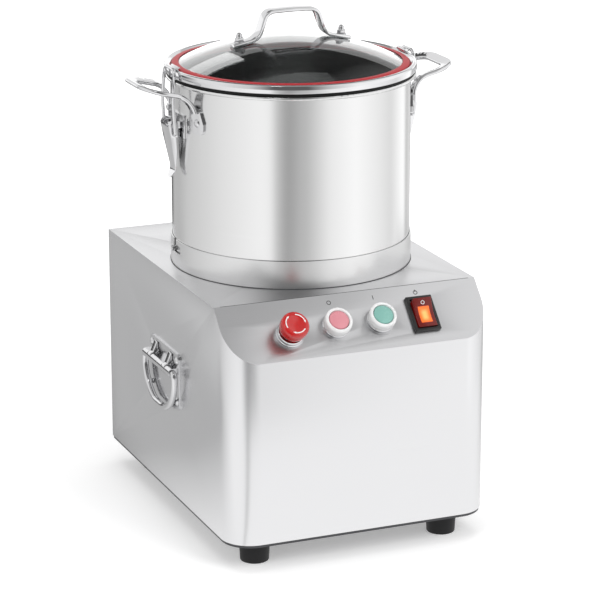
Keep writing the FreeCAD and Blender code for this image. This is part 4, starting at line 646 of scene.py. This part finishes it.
class CUTTER_OT_controls(bpy.types.Operator):
    """Models the stop knob, the two push buttons, the rocker switch and their marks"""

    bl_idname = "cutter.controls"
    bl_label = "Controls"

    def execute(self, context):
        look = context.scene.cutter_finish
        white = moulded("collar_white", (0.84, 0.84, 0.84), 0.2, 0.02, 0.4)
        chrome = polished("control_chrome", look.bright_tone, 0.08)
        red = moulded("estop_red", look.knob_red, 0.18, 0.02, 0.6)
        ink = moulded("print_white", (0.86, 0.86, 0.86), 0.4, 0.02)
        dark_ink = moulded("print_dark", (0.02, 0.02, 0.02), 0.5, 0.02)
        knob = turned("stop_knob_head", [
            (9.0, 11.0), (13.5, 11.0), (14.5, 12.4), (14.9, 15.0), (14.9, 19.6), (14.7, 21.2), (14.1, 22.5),
            (13.1, 23.4), (11.6, 23.9), (9.4, 24.0), (9.0, 23.75), (0, 23.7), (0, 17.6), (5.9, 17.6),
            (5.9, 13.6), (9.0, 13.6),
        ])
        settled(on_panel(knob, *PLACES["knob"]), "estop_head", "estop_red", red, ["estop_head"], 0.3)
        for number, start in enumerate((80, 200, 320)):
            mark = cut_out(f"stop_knob_arrow_{number}", arrow(10.4, 1.1, start, -66), 23.94, 0.12)
            settled(on_panel(mark, *PLACES["knob"]), "estop_head", "collar_white", ink)
        collar = turned("stop_knob_collar", [
            (8.8, -22), (10.9, -22), (10.9, 0), (14.8, 0), (14.8, 2.0), (14.2, 2.6), (14.2, 4.6),
            (13.4, 6.4), (8.8, 6.4),
        ])
        settled(on_panel(collar, *PLACES["knob"]), "base", "collar_white", chrome, ["estop_collar"], 0.3)
        stem = turned("stop_knob_stem", [(0, -24), (5.4, -24), (5.4, 0), (5.6, 0.6), (5.6, 17.4), (0, 17.4)])
        settled(on_panel(stem, *PLACES["knob"]), "estop_stem", "collar_white", white, ["estop_stem"], 0.3)
        tones = {"stop": ("stop_pink", look.stop_tone), "start": ("start_green", look.start_tone)}
        for name, (slot, tone) in tones.items():
            rim = turned(f"{name}_bezel_rim", [
                (10.8, 3.6), (14.4, 3.6), (14.6, 4.4), (14.6, 11.0), (14.35, 12.2), (13.6, 13.1),
                (12.5, 13.5), (11.7, 13.4), (11.1, 12.9), (10.8, 12.1),
            ])
            settled(on_panel(rim, *PLACES[name]), "base", "collar_white", white, ["button_bezels"], 0.25)
            foot_line = [(10.8, 0), (14.8, 0), (14.8, 2.4), (14.3, 3.3), (10.8, 3.3)]
            foot = turned(f"{name}_bezel_foot", foot_line)
            settled(on_panel(foot, *PLACES[name]), "base", "fastener_steel", chrome, ["button_bezels"], 0.3)
            shank = turned(f"{name}_bezel_shank", band(5.8, 10.9, -22, -0.2))
            settled(on_panel(shank, *PLACES[name]), "base", "collar_white", white, ["button_bezels"], 0.3)
            cap = turned(f"{name}_cap", [
                (0, 13.4), (8.4, 13.3), (9.8, 12.9), (10.4, 12.2), (10.4, 3.4), (5.4, 3.4), (5.4, -15),
                (0, -15),
            ])
            gloss = moulded(slot, tone, 0.26, 0.02, 0.35)
            settled(on_panel(cap, *PLACES[name]), f"{name}_button", slot, gloss, [f"{name}_button"], 0.3)
        self.model_rocker(ink)
        marks = [
            (turned("mark_stop", band(1.7, 2.4, 0.0, MARK_HIGH)), "stop"),
            (cut_out("mark_start", oblong(0.8, 4.6), 0.0, MARK_HIGH), "start"),
            (turned("mark_power_ring", band(1.7, 2.4, 0.0, MARK_HIGH)), "rocker"),
            (cut_out("mark_power_bar", oblong(0.8, 2.6, 1.9), 0.0, MARK_HIGH), "rocker"),
        ]
        for mark, name in marks:
            settled(on_panel(mark, PLACES[name][0], MARK_DOWN), "base", "rocker_black", dark_ink)
        return {"FINISHED"}

    def model_rocker(self, ink):
        """The black frame, the lit rocker and the ring on it."""
        frame_black = moulded("rocker_black", (0.014, 0.014, 0.014), 0.32, 0.08)
        place = PLACES["rocker"]
        rim = tray("rocker_frame", 29, 40, 0, 4, 3.6, 3.4)
        settled(on_panel(rim, *place), "base", "rocker_black", frame_black, ["rocker_bezel"], 0.8)
        shell = tray("rocker_housing", 24.6, 35.6, -24, -0.4, 1.4, 21)
        settled(on_panel(shell, *place), "base", "rocker_black", frame_black, ["rocker_bezel"], 0.2)
        body = cut_out("rocker_body", [
            (-15.7, 9.2), (-12.0, 7.9), (-6.0, 6.5), (0.0, 5.9), (6.0, 6.5), (12.0, 7.9), (15.7, 9.2),
            (13.0, -7.0), (-13.0, -7.0), (-15.7, 9.2),
        ], -10.4, 20.8)
        body.rotation_euler = (math.pi / 2, 0, math.pi / 2)
        fixed(body)
        red = lit_rocker(place)
        settled(on_panel(body, *place, ROCKER_TIP), "rocker", "rocker_red", red, ["rocker"], 0.9)
        ring = turned("rocker_ring", band(1.5, 2.1, 0.0, 0.12))
        ring.rotation_euler = (math.radians(13.0), 0, 0)
        ring.location = (0, 10.6 * MM, 7.62 * MM)
        fixed(ring)
        settled(on_panel(ring, *place, ROCKER_TIP), "rocker", "collar_white", ink)


# Bowl, lid, handles and casing


LID_BOLT_OUT = 57.6
LID_BOLT_SEAT = 509.5
GLASS_TOP = 510.7
GLASS_EDGE = 119.7
GLASS_STEPS = 14
BEND_STEPS = 8


def dome(top, outside, thick):
    """The profile of a glass dome: its outer face from the middle out, and its inner face back."""
    radii = [GLASS_EDGE * step / GLASS_STEPS for step in range(GLASS_STEPS + 1)]
    profile = []
    for reach, row in ((outside, radii), (outside - thick, reversed(radii))):
        profile += [(radius, top - outside + math.sqrt(reach ** 2 - radius ** 2)) for radius in row]
    return profile


def ribbon(points, bends, thick):
    """The outline of a bent strip along corner points, each corner rounded to a radius."""
    line = [Vector(points[0])]
    for before, corner, after, bend in zip(points, points[1:], points[2:], bends):
        corner = Vector(corner)
        back = (Vector(before) - corner).normalized()
        on = (Vector(after) - corner).normalized()
        half = math.acos(max(-1.0, min(1.0, back.dot(on)))) / 2
        centre = corner + (back + on).normalized() * (bend / math.sin(half))
        reach = bend / math.tan(half)
        start = corner + back * reach - centre
        turn = start.angle_signed(corner + on * reach - centre)
        for step in range(BEND_STEPS + 1):
            angle = -turn * step / BEND_STEPS
            cosine = math.cos(angle)
            sine = math.sin(angle)
            swung = (start.x * cosine - start.y * sine, start.x * sine + start.y * cosine)
            line.append(centre + Vector(swung))
    line.append(Vector(points[-1]))
    left = []
    right = []
    for number, spot in enumerate(line):
        along = (line[min(number + 1, len(line) - 1)] - line[max(number - 1, 0)]).normalized()
        off = Vector((-along.y, along.x)) * (thick / 2)
        left.append(tuple(spot + off))
        right.append(tuple(spot - off))
    outline = left + right[::-1]
    return outline + outline[:1]


class CUTTER_OT_lid(bpy.types.Operator):
    """Models the lid's rim, gasket, seal ring, glass, strap, bolts and cap nuts"""

    bl_idname = "cutter.lid"
    bl_label = "Lid"

    def execute(self, context):
        sizes = context.scene.cutter_sizes
        middle = (0, POT_Y)
        bright = NODES["lid_rim"].data.materials[0]
        rim = turned("lid_rim_ring", [
            (114.4, 476.5), (131.5, 476.5), (132.3, 477.3), (132.3, 483.6), (131.6, 485.0), (130.2, 485.7),
            (128.6, 485.6), (127.6, 484.9), (125.6, 483.4), (125.3, 482.6), (125.3, 477.7), (114.4, 477.7),
        ], middle)
        settled(rim, "lid", "bright_steel", bright, ["lid_rim"], 0.3)
        gasket = turned("lid_gasket_ring", [
            (121.3, 473.8), (130.6, 473.8), (131.1, 474.4), (131.1, 475.9), (130.6, 476.5), (121.3, 476.5),
        ], middle)
        rubber = NODES["lid_gasket"].data.materials[0]
        settled(gasket, "lid", "gasket_rubber", rubber, ["lid_gasket"])
        seal = turned("lid_seal", [
            (114.4, 477.7), (125.0, 477.7), (125.0, 483.4), (124.7, 484.2), (123.6, 484.8), (121.0, 485.2),
            (118.6, 485.4), (117.6, 485.3), (117.4, 485.0), (120.0, 483.9), (120.0, 478.9), (114.4, 478.9),
        ], middle)
        silicone = NODES["lid_seal_ring"].data.materials[0]
        settled(seal, "lid", "seal_silicone", silicone, ["lid_seal_ring"], 0.2, 2)
        profile = dome(GLASS_TOP, sizes.glass_round / MM, sizes.glass_thick / MM)
        pane = turned("lid_glass_dome", profile, middle)
        settled(pane, "lid", "lid_glass", NODES["lid_dome"].data.materials[0], ["lid_dome"])
        self.model_strap(bright, sizes)
        for number, side in enumerate((-1, 1)):
            self.model_bolt(number, (LID_BOLT_OUT * side, POT_Y))
        return {"FINISHED"}

    def model_strap(self, bright, sizes):
        """The bent strap that lifts the lid."""
        half = [(0.0, 539.5), (28.5, 538.5), (37.5, 510.8), (66.0, 505.2)]
        points = [(-x, z) for x, z in reversed(half)] + half[1:]
        wide = sizes.strap_wide / MM
        outline = ribbon(points, (16, 11, 260, 11, 16), sizes.strap_thick / MM)
        strap = cut_out("lid_strap", outline, -wide / 2, wide)
        strap.rotation_euler = (math.pi / 2, 0, 0)
        strap.location = (0, POT_Y * MM, 0)
        settled(strap, "lid", "bright_steel", bright, ["lid_handle"], 0.9)

    def model_bolt(self, number, spot):
        """One bolt through the strap and the glass, with its washer, nut and cap."""
        steel = NODES["lid_handle_bolts"].data.materials[0]
        pieces = (
            ("bolt", [(0, 3), (2.4, 3), (2.4, -10.2), (5.4, -10.2), (5.4, -11.7), (0, -11.7)], 0, 0.3),
            ("washer", band(2.5, 5.5, -1.4, -0.1), 0, 0.3),
            ("nut", [(2.5, 0), (4.6, 0), (4.9, 0.4), (4.9, 3.2), (4.3, 3.8), (2.5, 3.8)], 6, 0.2),
            ("cap", [(0, 3.6), (3.5, 3.6), (3.5, 5.2), (3.1, 6.9), (2.2, 8.3), (1.0, 8.9), (0, 8.95)], 0, 0),
        )
        for name, profile, sides, edge in pieces:
            raised = [(radius, height + LID_BOLT_SEAT) for radius, height in profile]
            piece = turned(f"lid_{name}_{number}", raised, spot, sides)
            stands_for = ["lid_handle_bolts"] if name == "bolt" else ()
            settled(piece, "lid", "fastener_steel", steel, stands_for, edge)


KNUCKLE_WIDE = 9.0
SIDE_HANDLE_Y = 5.5


class CUTTER_OT_fittings(bpy.types.Operator):
    """Rounds the edges of the casing, handles and latches, and adds the knuckles and two dark strips of
    painted shade
    """

    bl_idname = "cutter.fittings"
    bl_label = "Fittings"

    def execute(self, context):
        rounded = {
            "casing_shell": ("base", "casing_steel", 1.1, "casing"),
            "lid_catches": ("lid", "bright_steel", 0.5, "lid_hooks"),
            "latch_brackets": ("bowl", "bright_steel", 0.4, "latch_seats"),
            "bowl_handle_left": ("bowl", "bright_steel", 1.0, "handle_loop_left"),
            "bowl_handle_right": ("bowl", "bright_steel", 1.0, "handle_loop_right"),
            "latch_lever_left": ("lever_left", "bright_steel", 0.5, "lever_left_body"),
            "latch_lever_right": ("lever_right", "bright_steel", 0.5, "lever_right_body"),
        }
        for node, (body, slot, edge, name) in rounded.items():
            material = NODES[node].data.materials[0]
            settled(softened(node, name), body, slot, material, [node], edge)
        for turn, side in ((1, "left"), (-1, "right")):
            for number, shift in enumerate((-22, 22)):
                self.model_knuckle(f"side_knuckle_{side}_{number}", turn, shift)
        self.model_shade_lines()
        return {"FINISHED"}

    def model_knuckle(self, name, turn, shift):
        """A pressed rib from the side plate to its sleeve, or its twin on the other side."""
        plate = NODES["side_plate_left"].data.materials[0]
        rib = cut_out(name, [
            (-147.9, 189.0), (-152.5, 178.2), (-155.0, 177.1), (-157.0, 175.2), (-156.3, 174.4),
            (-154.4, 176.2), (-152.4, 176.9), (-150.4, 176.7), (-146.9, 179.5), (-146.9, 189.0),
            (-147.9, 189.0),
        ], -KNUCKLE_WIDE / 2, KNUCKLE_WIDE)
        rib.rotation_euler = (math.pi / 2, 0, 0)
        rib.scale = (turn, 1, 1)
        rib.location = (0, (SIDE_HANDLE_Y + shift) * MM, 0)
        fixed(rib)
        bpy.ops.object.mode_set(mode="EDIT")
        joined_up()
        settled(rib, "base", "plate_steel", plate, (), 0.5)

    def model_shade_lines(self):
        """Two dark strips of painted shade: a ring at the collar's foot for its contact shadow, and a line
        along the panel's crease for the shadow at the top sheet's edge.
        """
        dark = NODES["base_plate"].data.materials[0]
        low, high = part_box("bowl_collar")
        reach = (high[0] - low[0]) / 2 / MM
        # Painted shade: a dark ring at the collar's foot stands in for its contact shadow
        foot_shade_ring = band(reach - 0.6, reach + 0.7, CREASE_Z, CREASE_Z + 0.5)
        settled(turned("collar_foot_shade", foot_shade_ring, (0, POT_Y)), "base", "rocker_black", dark)
        # Painted shade: a dark strip along the crease stands in for the shadow line at the top sheet's edge
        crease_shade_strip = cut_out("crease_shade_line", oblong(276, 0.7), CREASE_Z - 0.1, 0.2)
        crease_shade_strip.location = (0, (CREASE_Y + 0.2) * MM, 0)
        settled(crease_shade_strip, "base", "rocker_black", dark)


# Stage


def soft_lamp(name, place, aim, wide, tall, power, shows=False):
    """A rectangular area lamp that faces a point; it shows in shiny metal only where wanted."""
    bpy.ops.object.light_add(type="AREA", location=place)
    lamp = bpy.context.object
    lamp.name = name
    lamp.rotation_euler = (Vector(aim) - Vector(place)).to_track_quat("-Z", "Y").to_euler()
    lamp.data.shape = "RECTANGLE"
    lamp.data.size = wide
    lamp.data.size_y = tall
    lamp.data.energy = power * bpy.context.scene.cutter_finish.lamp_power
    lamp.visible_glossy = shows
    return lamp


# Brightness of the studio as shiny metal sees it, by the turn from +X in degrees: low down, then higher up
LOW_SURROUND = (
    (-180, 1.00), (-140, 1.20), (-131, 1.18), (-125, 0.74), (-112, 0.58), (-98, 0.66), (-76, 1.12),
    (-50, 1.30), (-20, 1.10), (-4, 0.95), (16, 1.30), (24, 1.35), (30, 0.66), (48, 0.90), (56, 0.12),
    (90, 0.12), (98, 0.58), (116, 0.60), (135, 0.77), (160, 0.88),
)
HIGH_SURROUND = (
    (-180, 1.00), (-150, 0.80), (-128, 0.14), (-96, 0.14), (-74, 0.75), (-50, 1.20), (12, 1.20),
    (40, 0.60), (52, 0.08), (98, 0.08), (112, 0.70), (135, 0.90),
)
HORIZON = 0.07
PEAK = 1.5

# The floor as shiny metal sees it: close by, in a duller wedge before the front left corner, and far behind
CLOSE_BEHIND = 0.56
CLOSE_AHEAD = 1.20
CLOSE_REACH = 0.95
WEDGE = 0.40
WEDGE_TIP = (-0.15, -0.188)
WEDGE_SLANT = 0.42
HORIZON_REACH = 2.2

# The lamps that show only in the glass: their plane, and their power for each square metre
GLOW_PLANE = 0.84
GLOW_POWER = 4.0

CAMERA_PLACE = (-1.0557, -2.5638, 1.0548)
CAMERA_AIM = (0.00696, 0, 0.22427)


def level(brightness):
    """A grey for a brightness, as a share of the studio's brightest."""
    return (brightness / PEAK,) * 3


def surround(sheet, vector, levels):
    """A studio's brightness by the turn about the upright axis, closed where the turn starts again."""
    stops = [((turn + 180) / 360, level(value)) for turn, value in (*levels, (180, levels[0][1]))]
    ring = sheet.node("ShaderNodeTexGradient", {"gradient_type": "RADIAL"}, {"Vector": vector}, "Fac")
    return sheet.node("ShaderNodeValToRGB", {"stops": stops}, {"Fac": ring})


def lay_floor():
    """A pale floor that keeps a soft shadow and shows the studio's brightness in shiny metal."""
    bpy.ops.object.select_all(action="DESELECT")
    bpy.ops.mesh.primitive_plane_add(size=30, location=(0, 0, 0))
    floor = bpy.context.object
    floor.name = "floor"
    paint = Finish("floor_paint", roughness=0.9)
    paint.put("specular ior level", 0.0)
    paint.put("base color", paint.mixed(paint.noise(3.0, 2.0), (0.86, 0.86, 0.86), (0.88, 0.88, 0.88)))
    x, y, _ = paint.axes()
    far = ((x * x + y * y) * 0.35).least(1.0)
    glow = paint.mixed(paint.ray("Camera") * (far * 0.5 + 0.34), (0, 0, 0), (1, 1, 1))
    paint.put("emission color", glow)
    paint.put("emission strength", 1.0)
    away = surround(paint, paint.place(), LOW_SURROUND)
    ahead = (0.5 - y * 2.5).held()
    close = paint.mixed(ahead, level(CLOSE_BEHIND), level(CLOSE_AHEAD))
    distance = (x * x + y * y).power(0.5)
    reach = ((distance - CLOSE_REACH + ahead * 0.4) * 2.8).most((x + 0.5) * -4.0).held()
    slant = (x - WEDGE_TIP[0]) / (y - WEDGE_TIP[1])
    wedge = (1.0 - abs(slant - WEDGE_SLANT) * 4.0).most(0.0) * ahead * 0.7
    bright = paint.mixed(wedge, paint.mixed(reach, close, away), level(WEDGE))
    horizon = ((distance - HORIZON_REACH) * 0.8).held()
    behind = (y / distance * 2.0 - 0.9).held()
    bright = paint.mixed(horizon * behind, bright, level(HORIZON))
    shown = paint.node("ShaderNodeEmission", {}, {"Color": bright, "Strength": PEAK})
    own = Tone(paint, paint.shader.outputs[0])
    paint.ended(paint.ray("Glossy"), own, shown, "Material Output")
    floor.data.materials.append(paint.material)


def glow_card(name, middle, wide, tall, brightness, lying=False):
    """A bright panel that only shiny surfaces see."""
    bpy.ops.object.select_all(action="DESELECT")
    turn = (0, 0, 0) if lying else (math.pi / 2, 0, 0)
    bpy.ops.mesh.primitive_plane_add(size=1, location=middle, rotation=turn)
    card = bpy.context.object
    card.name = name
    card.scale = (wide, tall, 1)
    bpy.ops.object.transform_apply(location=True, rotation=True, scale=True)
    paint = Finish(name, base_color=(0, 0, 0), roughness=1.0, emission_color=(1, 1, 1))
    paint.put("emission strength", brightness)
    paint.put("specular ior level", 0.0)
    card.data.materials.append(paint.material)
    card.visible_camera = False
    card.visible_diffuse = False
    card.visible_transmission = False
    card.visible_volume_scatter = False
    card.visible_shadow = False


def pane_lamp(name, across, height, wide, tall, brightness, pane):
    """A lamp behind the object that shows only in the lid's glass."""
    power = brightness * GLOW_POWER * wide * tall
    lamp = soft_lamp(name, (across, GLOW_PLANE, height), (across, -1, height), wide, tall, power, True)
    lamp.light_linking.receiver_collection = pane


def light_world():
    """Soft light from all round; white to the camera, and shaped by direction to shiny metal."""
    scene = bpy.context.scene
    look = scene.cutter_finish
    world = scene.world or bpy.data.worlds.new("studio")
    scene.world = world
    world.use_nodes = True
    sky = Sheet(world.node_tree)
    clear = sky.ray("Camera").most(sky.ray("Transmission"))
    plain = sky.nodes["Background"]
    plain.inputs["Color"].default_value = (1, 1, 1, 1)
    strength = clear * (1.0 - look.world_light) + look.world_light
    sky.links.new(strength.socket, plain.inputs["Strength"])
    where = sky.node("ShaderNodeTexCoord", output="Generated")
    _, back, up = sky.axes(where)
    around = surround(sky, where, HIGH_SURROUND)
    overhead = sky.mixed(up.ramped(0.75, 0.92, "SMOOTHSTEP"), around, level(look.overhead))
    clear_of_horizon = up.ramped(0.06, 0.20, "SMOOTHSTEP").most(back.ramped(0.70, 0.40))
    bright = sky.mixed(clear_of_horizon, level(HORIZON), overhead)
    shown = sky.node("ShaderNodeBackground", {}, {"Color": bright, "Strength": PEAK})
    sky.ended(sky.ray("Glossy"), Tone(sky, plain.outputs[0]), shown, "World Output")


class CUTTER_OT_stage(bpy.types.Operator):
    """Adds the pale floor, the world, the bright cards, the lamps and the camera"""

    bl_idname = "cutter.stage"
    bl_label = "Stage"

    def execute(self, context):
        scene = context.scene
        scene.view_settings.view_transform = "Standard"
        lay_floor()
        light_world()
        glow_card("card_level", (0.4, 0.86, 0.53), 2.6, 0.34, 1.25)
        glow_card("card_back", (0.4, 0.86, 0.89), 2.6, 0.38, 0.95)
        pane = bpy.data.collections.new("pane_only")
        pane.objects.link(bpy.data.objects["lid_glass_dome"])
        pane_lamp("glow_far", 0.30, 0.45, 1.6, 0.85, 0.75, pane)
        pane_lamp("glow_left", -0.55, 0.62, 1.3, 1.1, 2.0, pane)
        pane_lamp("glow_right", 1.05, 0.45, 1.1, 0.75, 1.7, pane)
        glow_card("card_right", (1.05, -0.5, 1.2), 1.2, 1.4, 0.95, True)
        soft_lamp("key", (1.2, -2.6, 2.2), (0, 0, 0.25), 1.6, 1.6, 46)
        soft_lamp("left", (-2.6, -1.0, 1.5), (0, 0, 0.25), 1.2, 1.8, 16)
        soft_lamp("top", (0, 0.3, 2.6), (0, 0, 0.2), 2.0, 2.0, 18)
        soft_lamp("glint", (-0.9, -1.1, 2.3), (0, 0, 0.35), 0.35, 0.35, 1.6, True)
        bpy.ops.object.camera_add(location=CAMERA_PLACE)
        camera = context.object
        aim = Vector(CAMERA_AIM) - camera.location
        camera.rotation_euler = aim.to_track_quat("-Z", "Y").to_euler()
        camera.data.sensor_width = 36
        camera.data.lens = 162.0
        scene.camera = camera
        return {"FINISHED"}


CLASSES = (
    CutterSizes,
    CutterFinish,
    CUTTER_OT_finishes,
    CUTTER_OT_controls,
    CUTTER_OT_lid,
    CUTTER_OT_fittings,
    CUTTER_OT_stage,
)


class CUTTER_PT_panel(bpy.types.Panel):
    """Lists the cutter's operators"""

    bl_idname = "CUTTER_PT_panel"
    bl_label = "Bowl cutter"
    bl_space_type = "VIEW_3D"
    bl_region_type = "UI"
    bl_category = "Cutter"

    def draw(self, context):
        for kind in CLASSES:
            if issubclass(kind, bpy.types.Operator):
                self.layout.operator(kind.bl_idname)


def register():
    """Registers the classes and hangs the property groups on the scene."""
    for kind in (*CLASSES, CUTTER_PT_panel):
        bpy.utils.register_class(kind)
    bpy.types.Scene.cutter_sizes = PointerProperty(type=CutterSizes)
    bpy.types.Scene.cutter_finish = PointerProperty(type=CutterFinish)


def unregister():
    """Takes the classes and property groups away again."""
    del bpy.types.Scene.cutter_finish
    del bpy.types.Scene.cutter_sizes
    for kind in reversed((*CLASSES, CUTTER_PT_panel)):
        bpy.utils.unregister_class(kind)


def main():
    """Runs every step."""
    register()
    bpy.ops.cutter.finishes()
    bpy.ops.cutter.controls()
    bpy.ops.cutter.lid()
    bpy.ops.cutter.fittings()
    bpy.ops.cutter.stage()


if __name__ == "__main__":
    main()
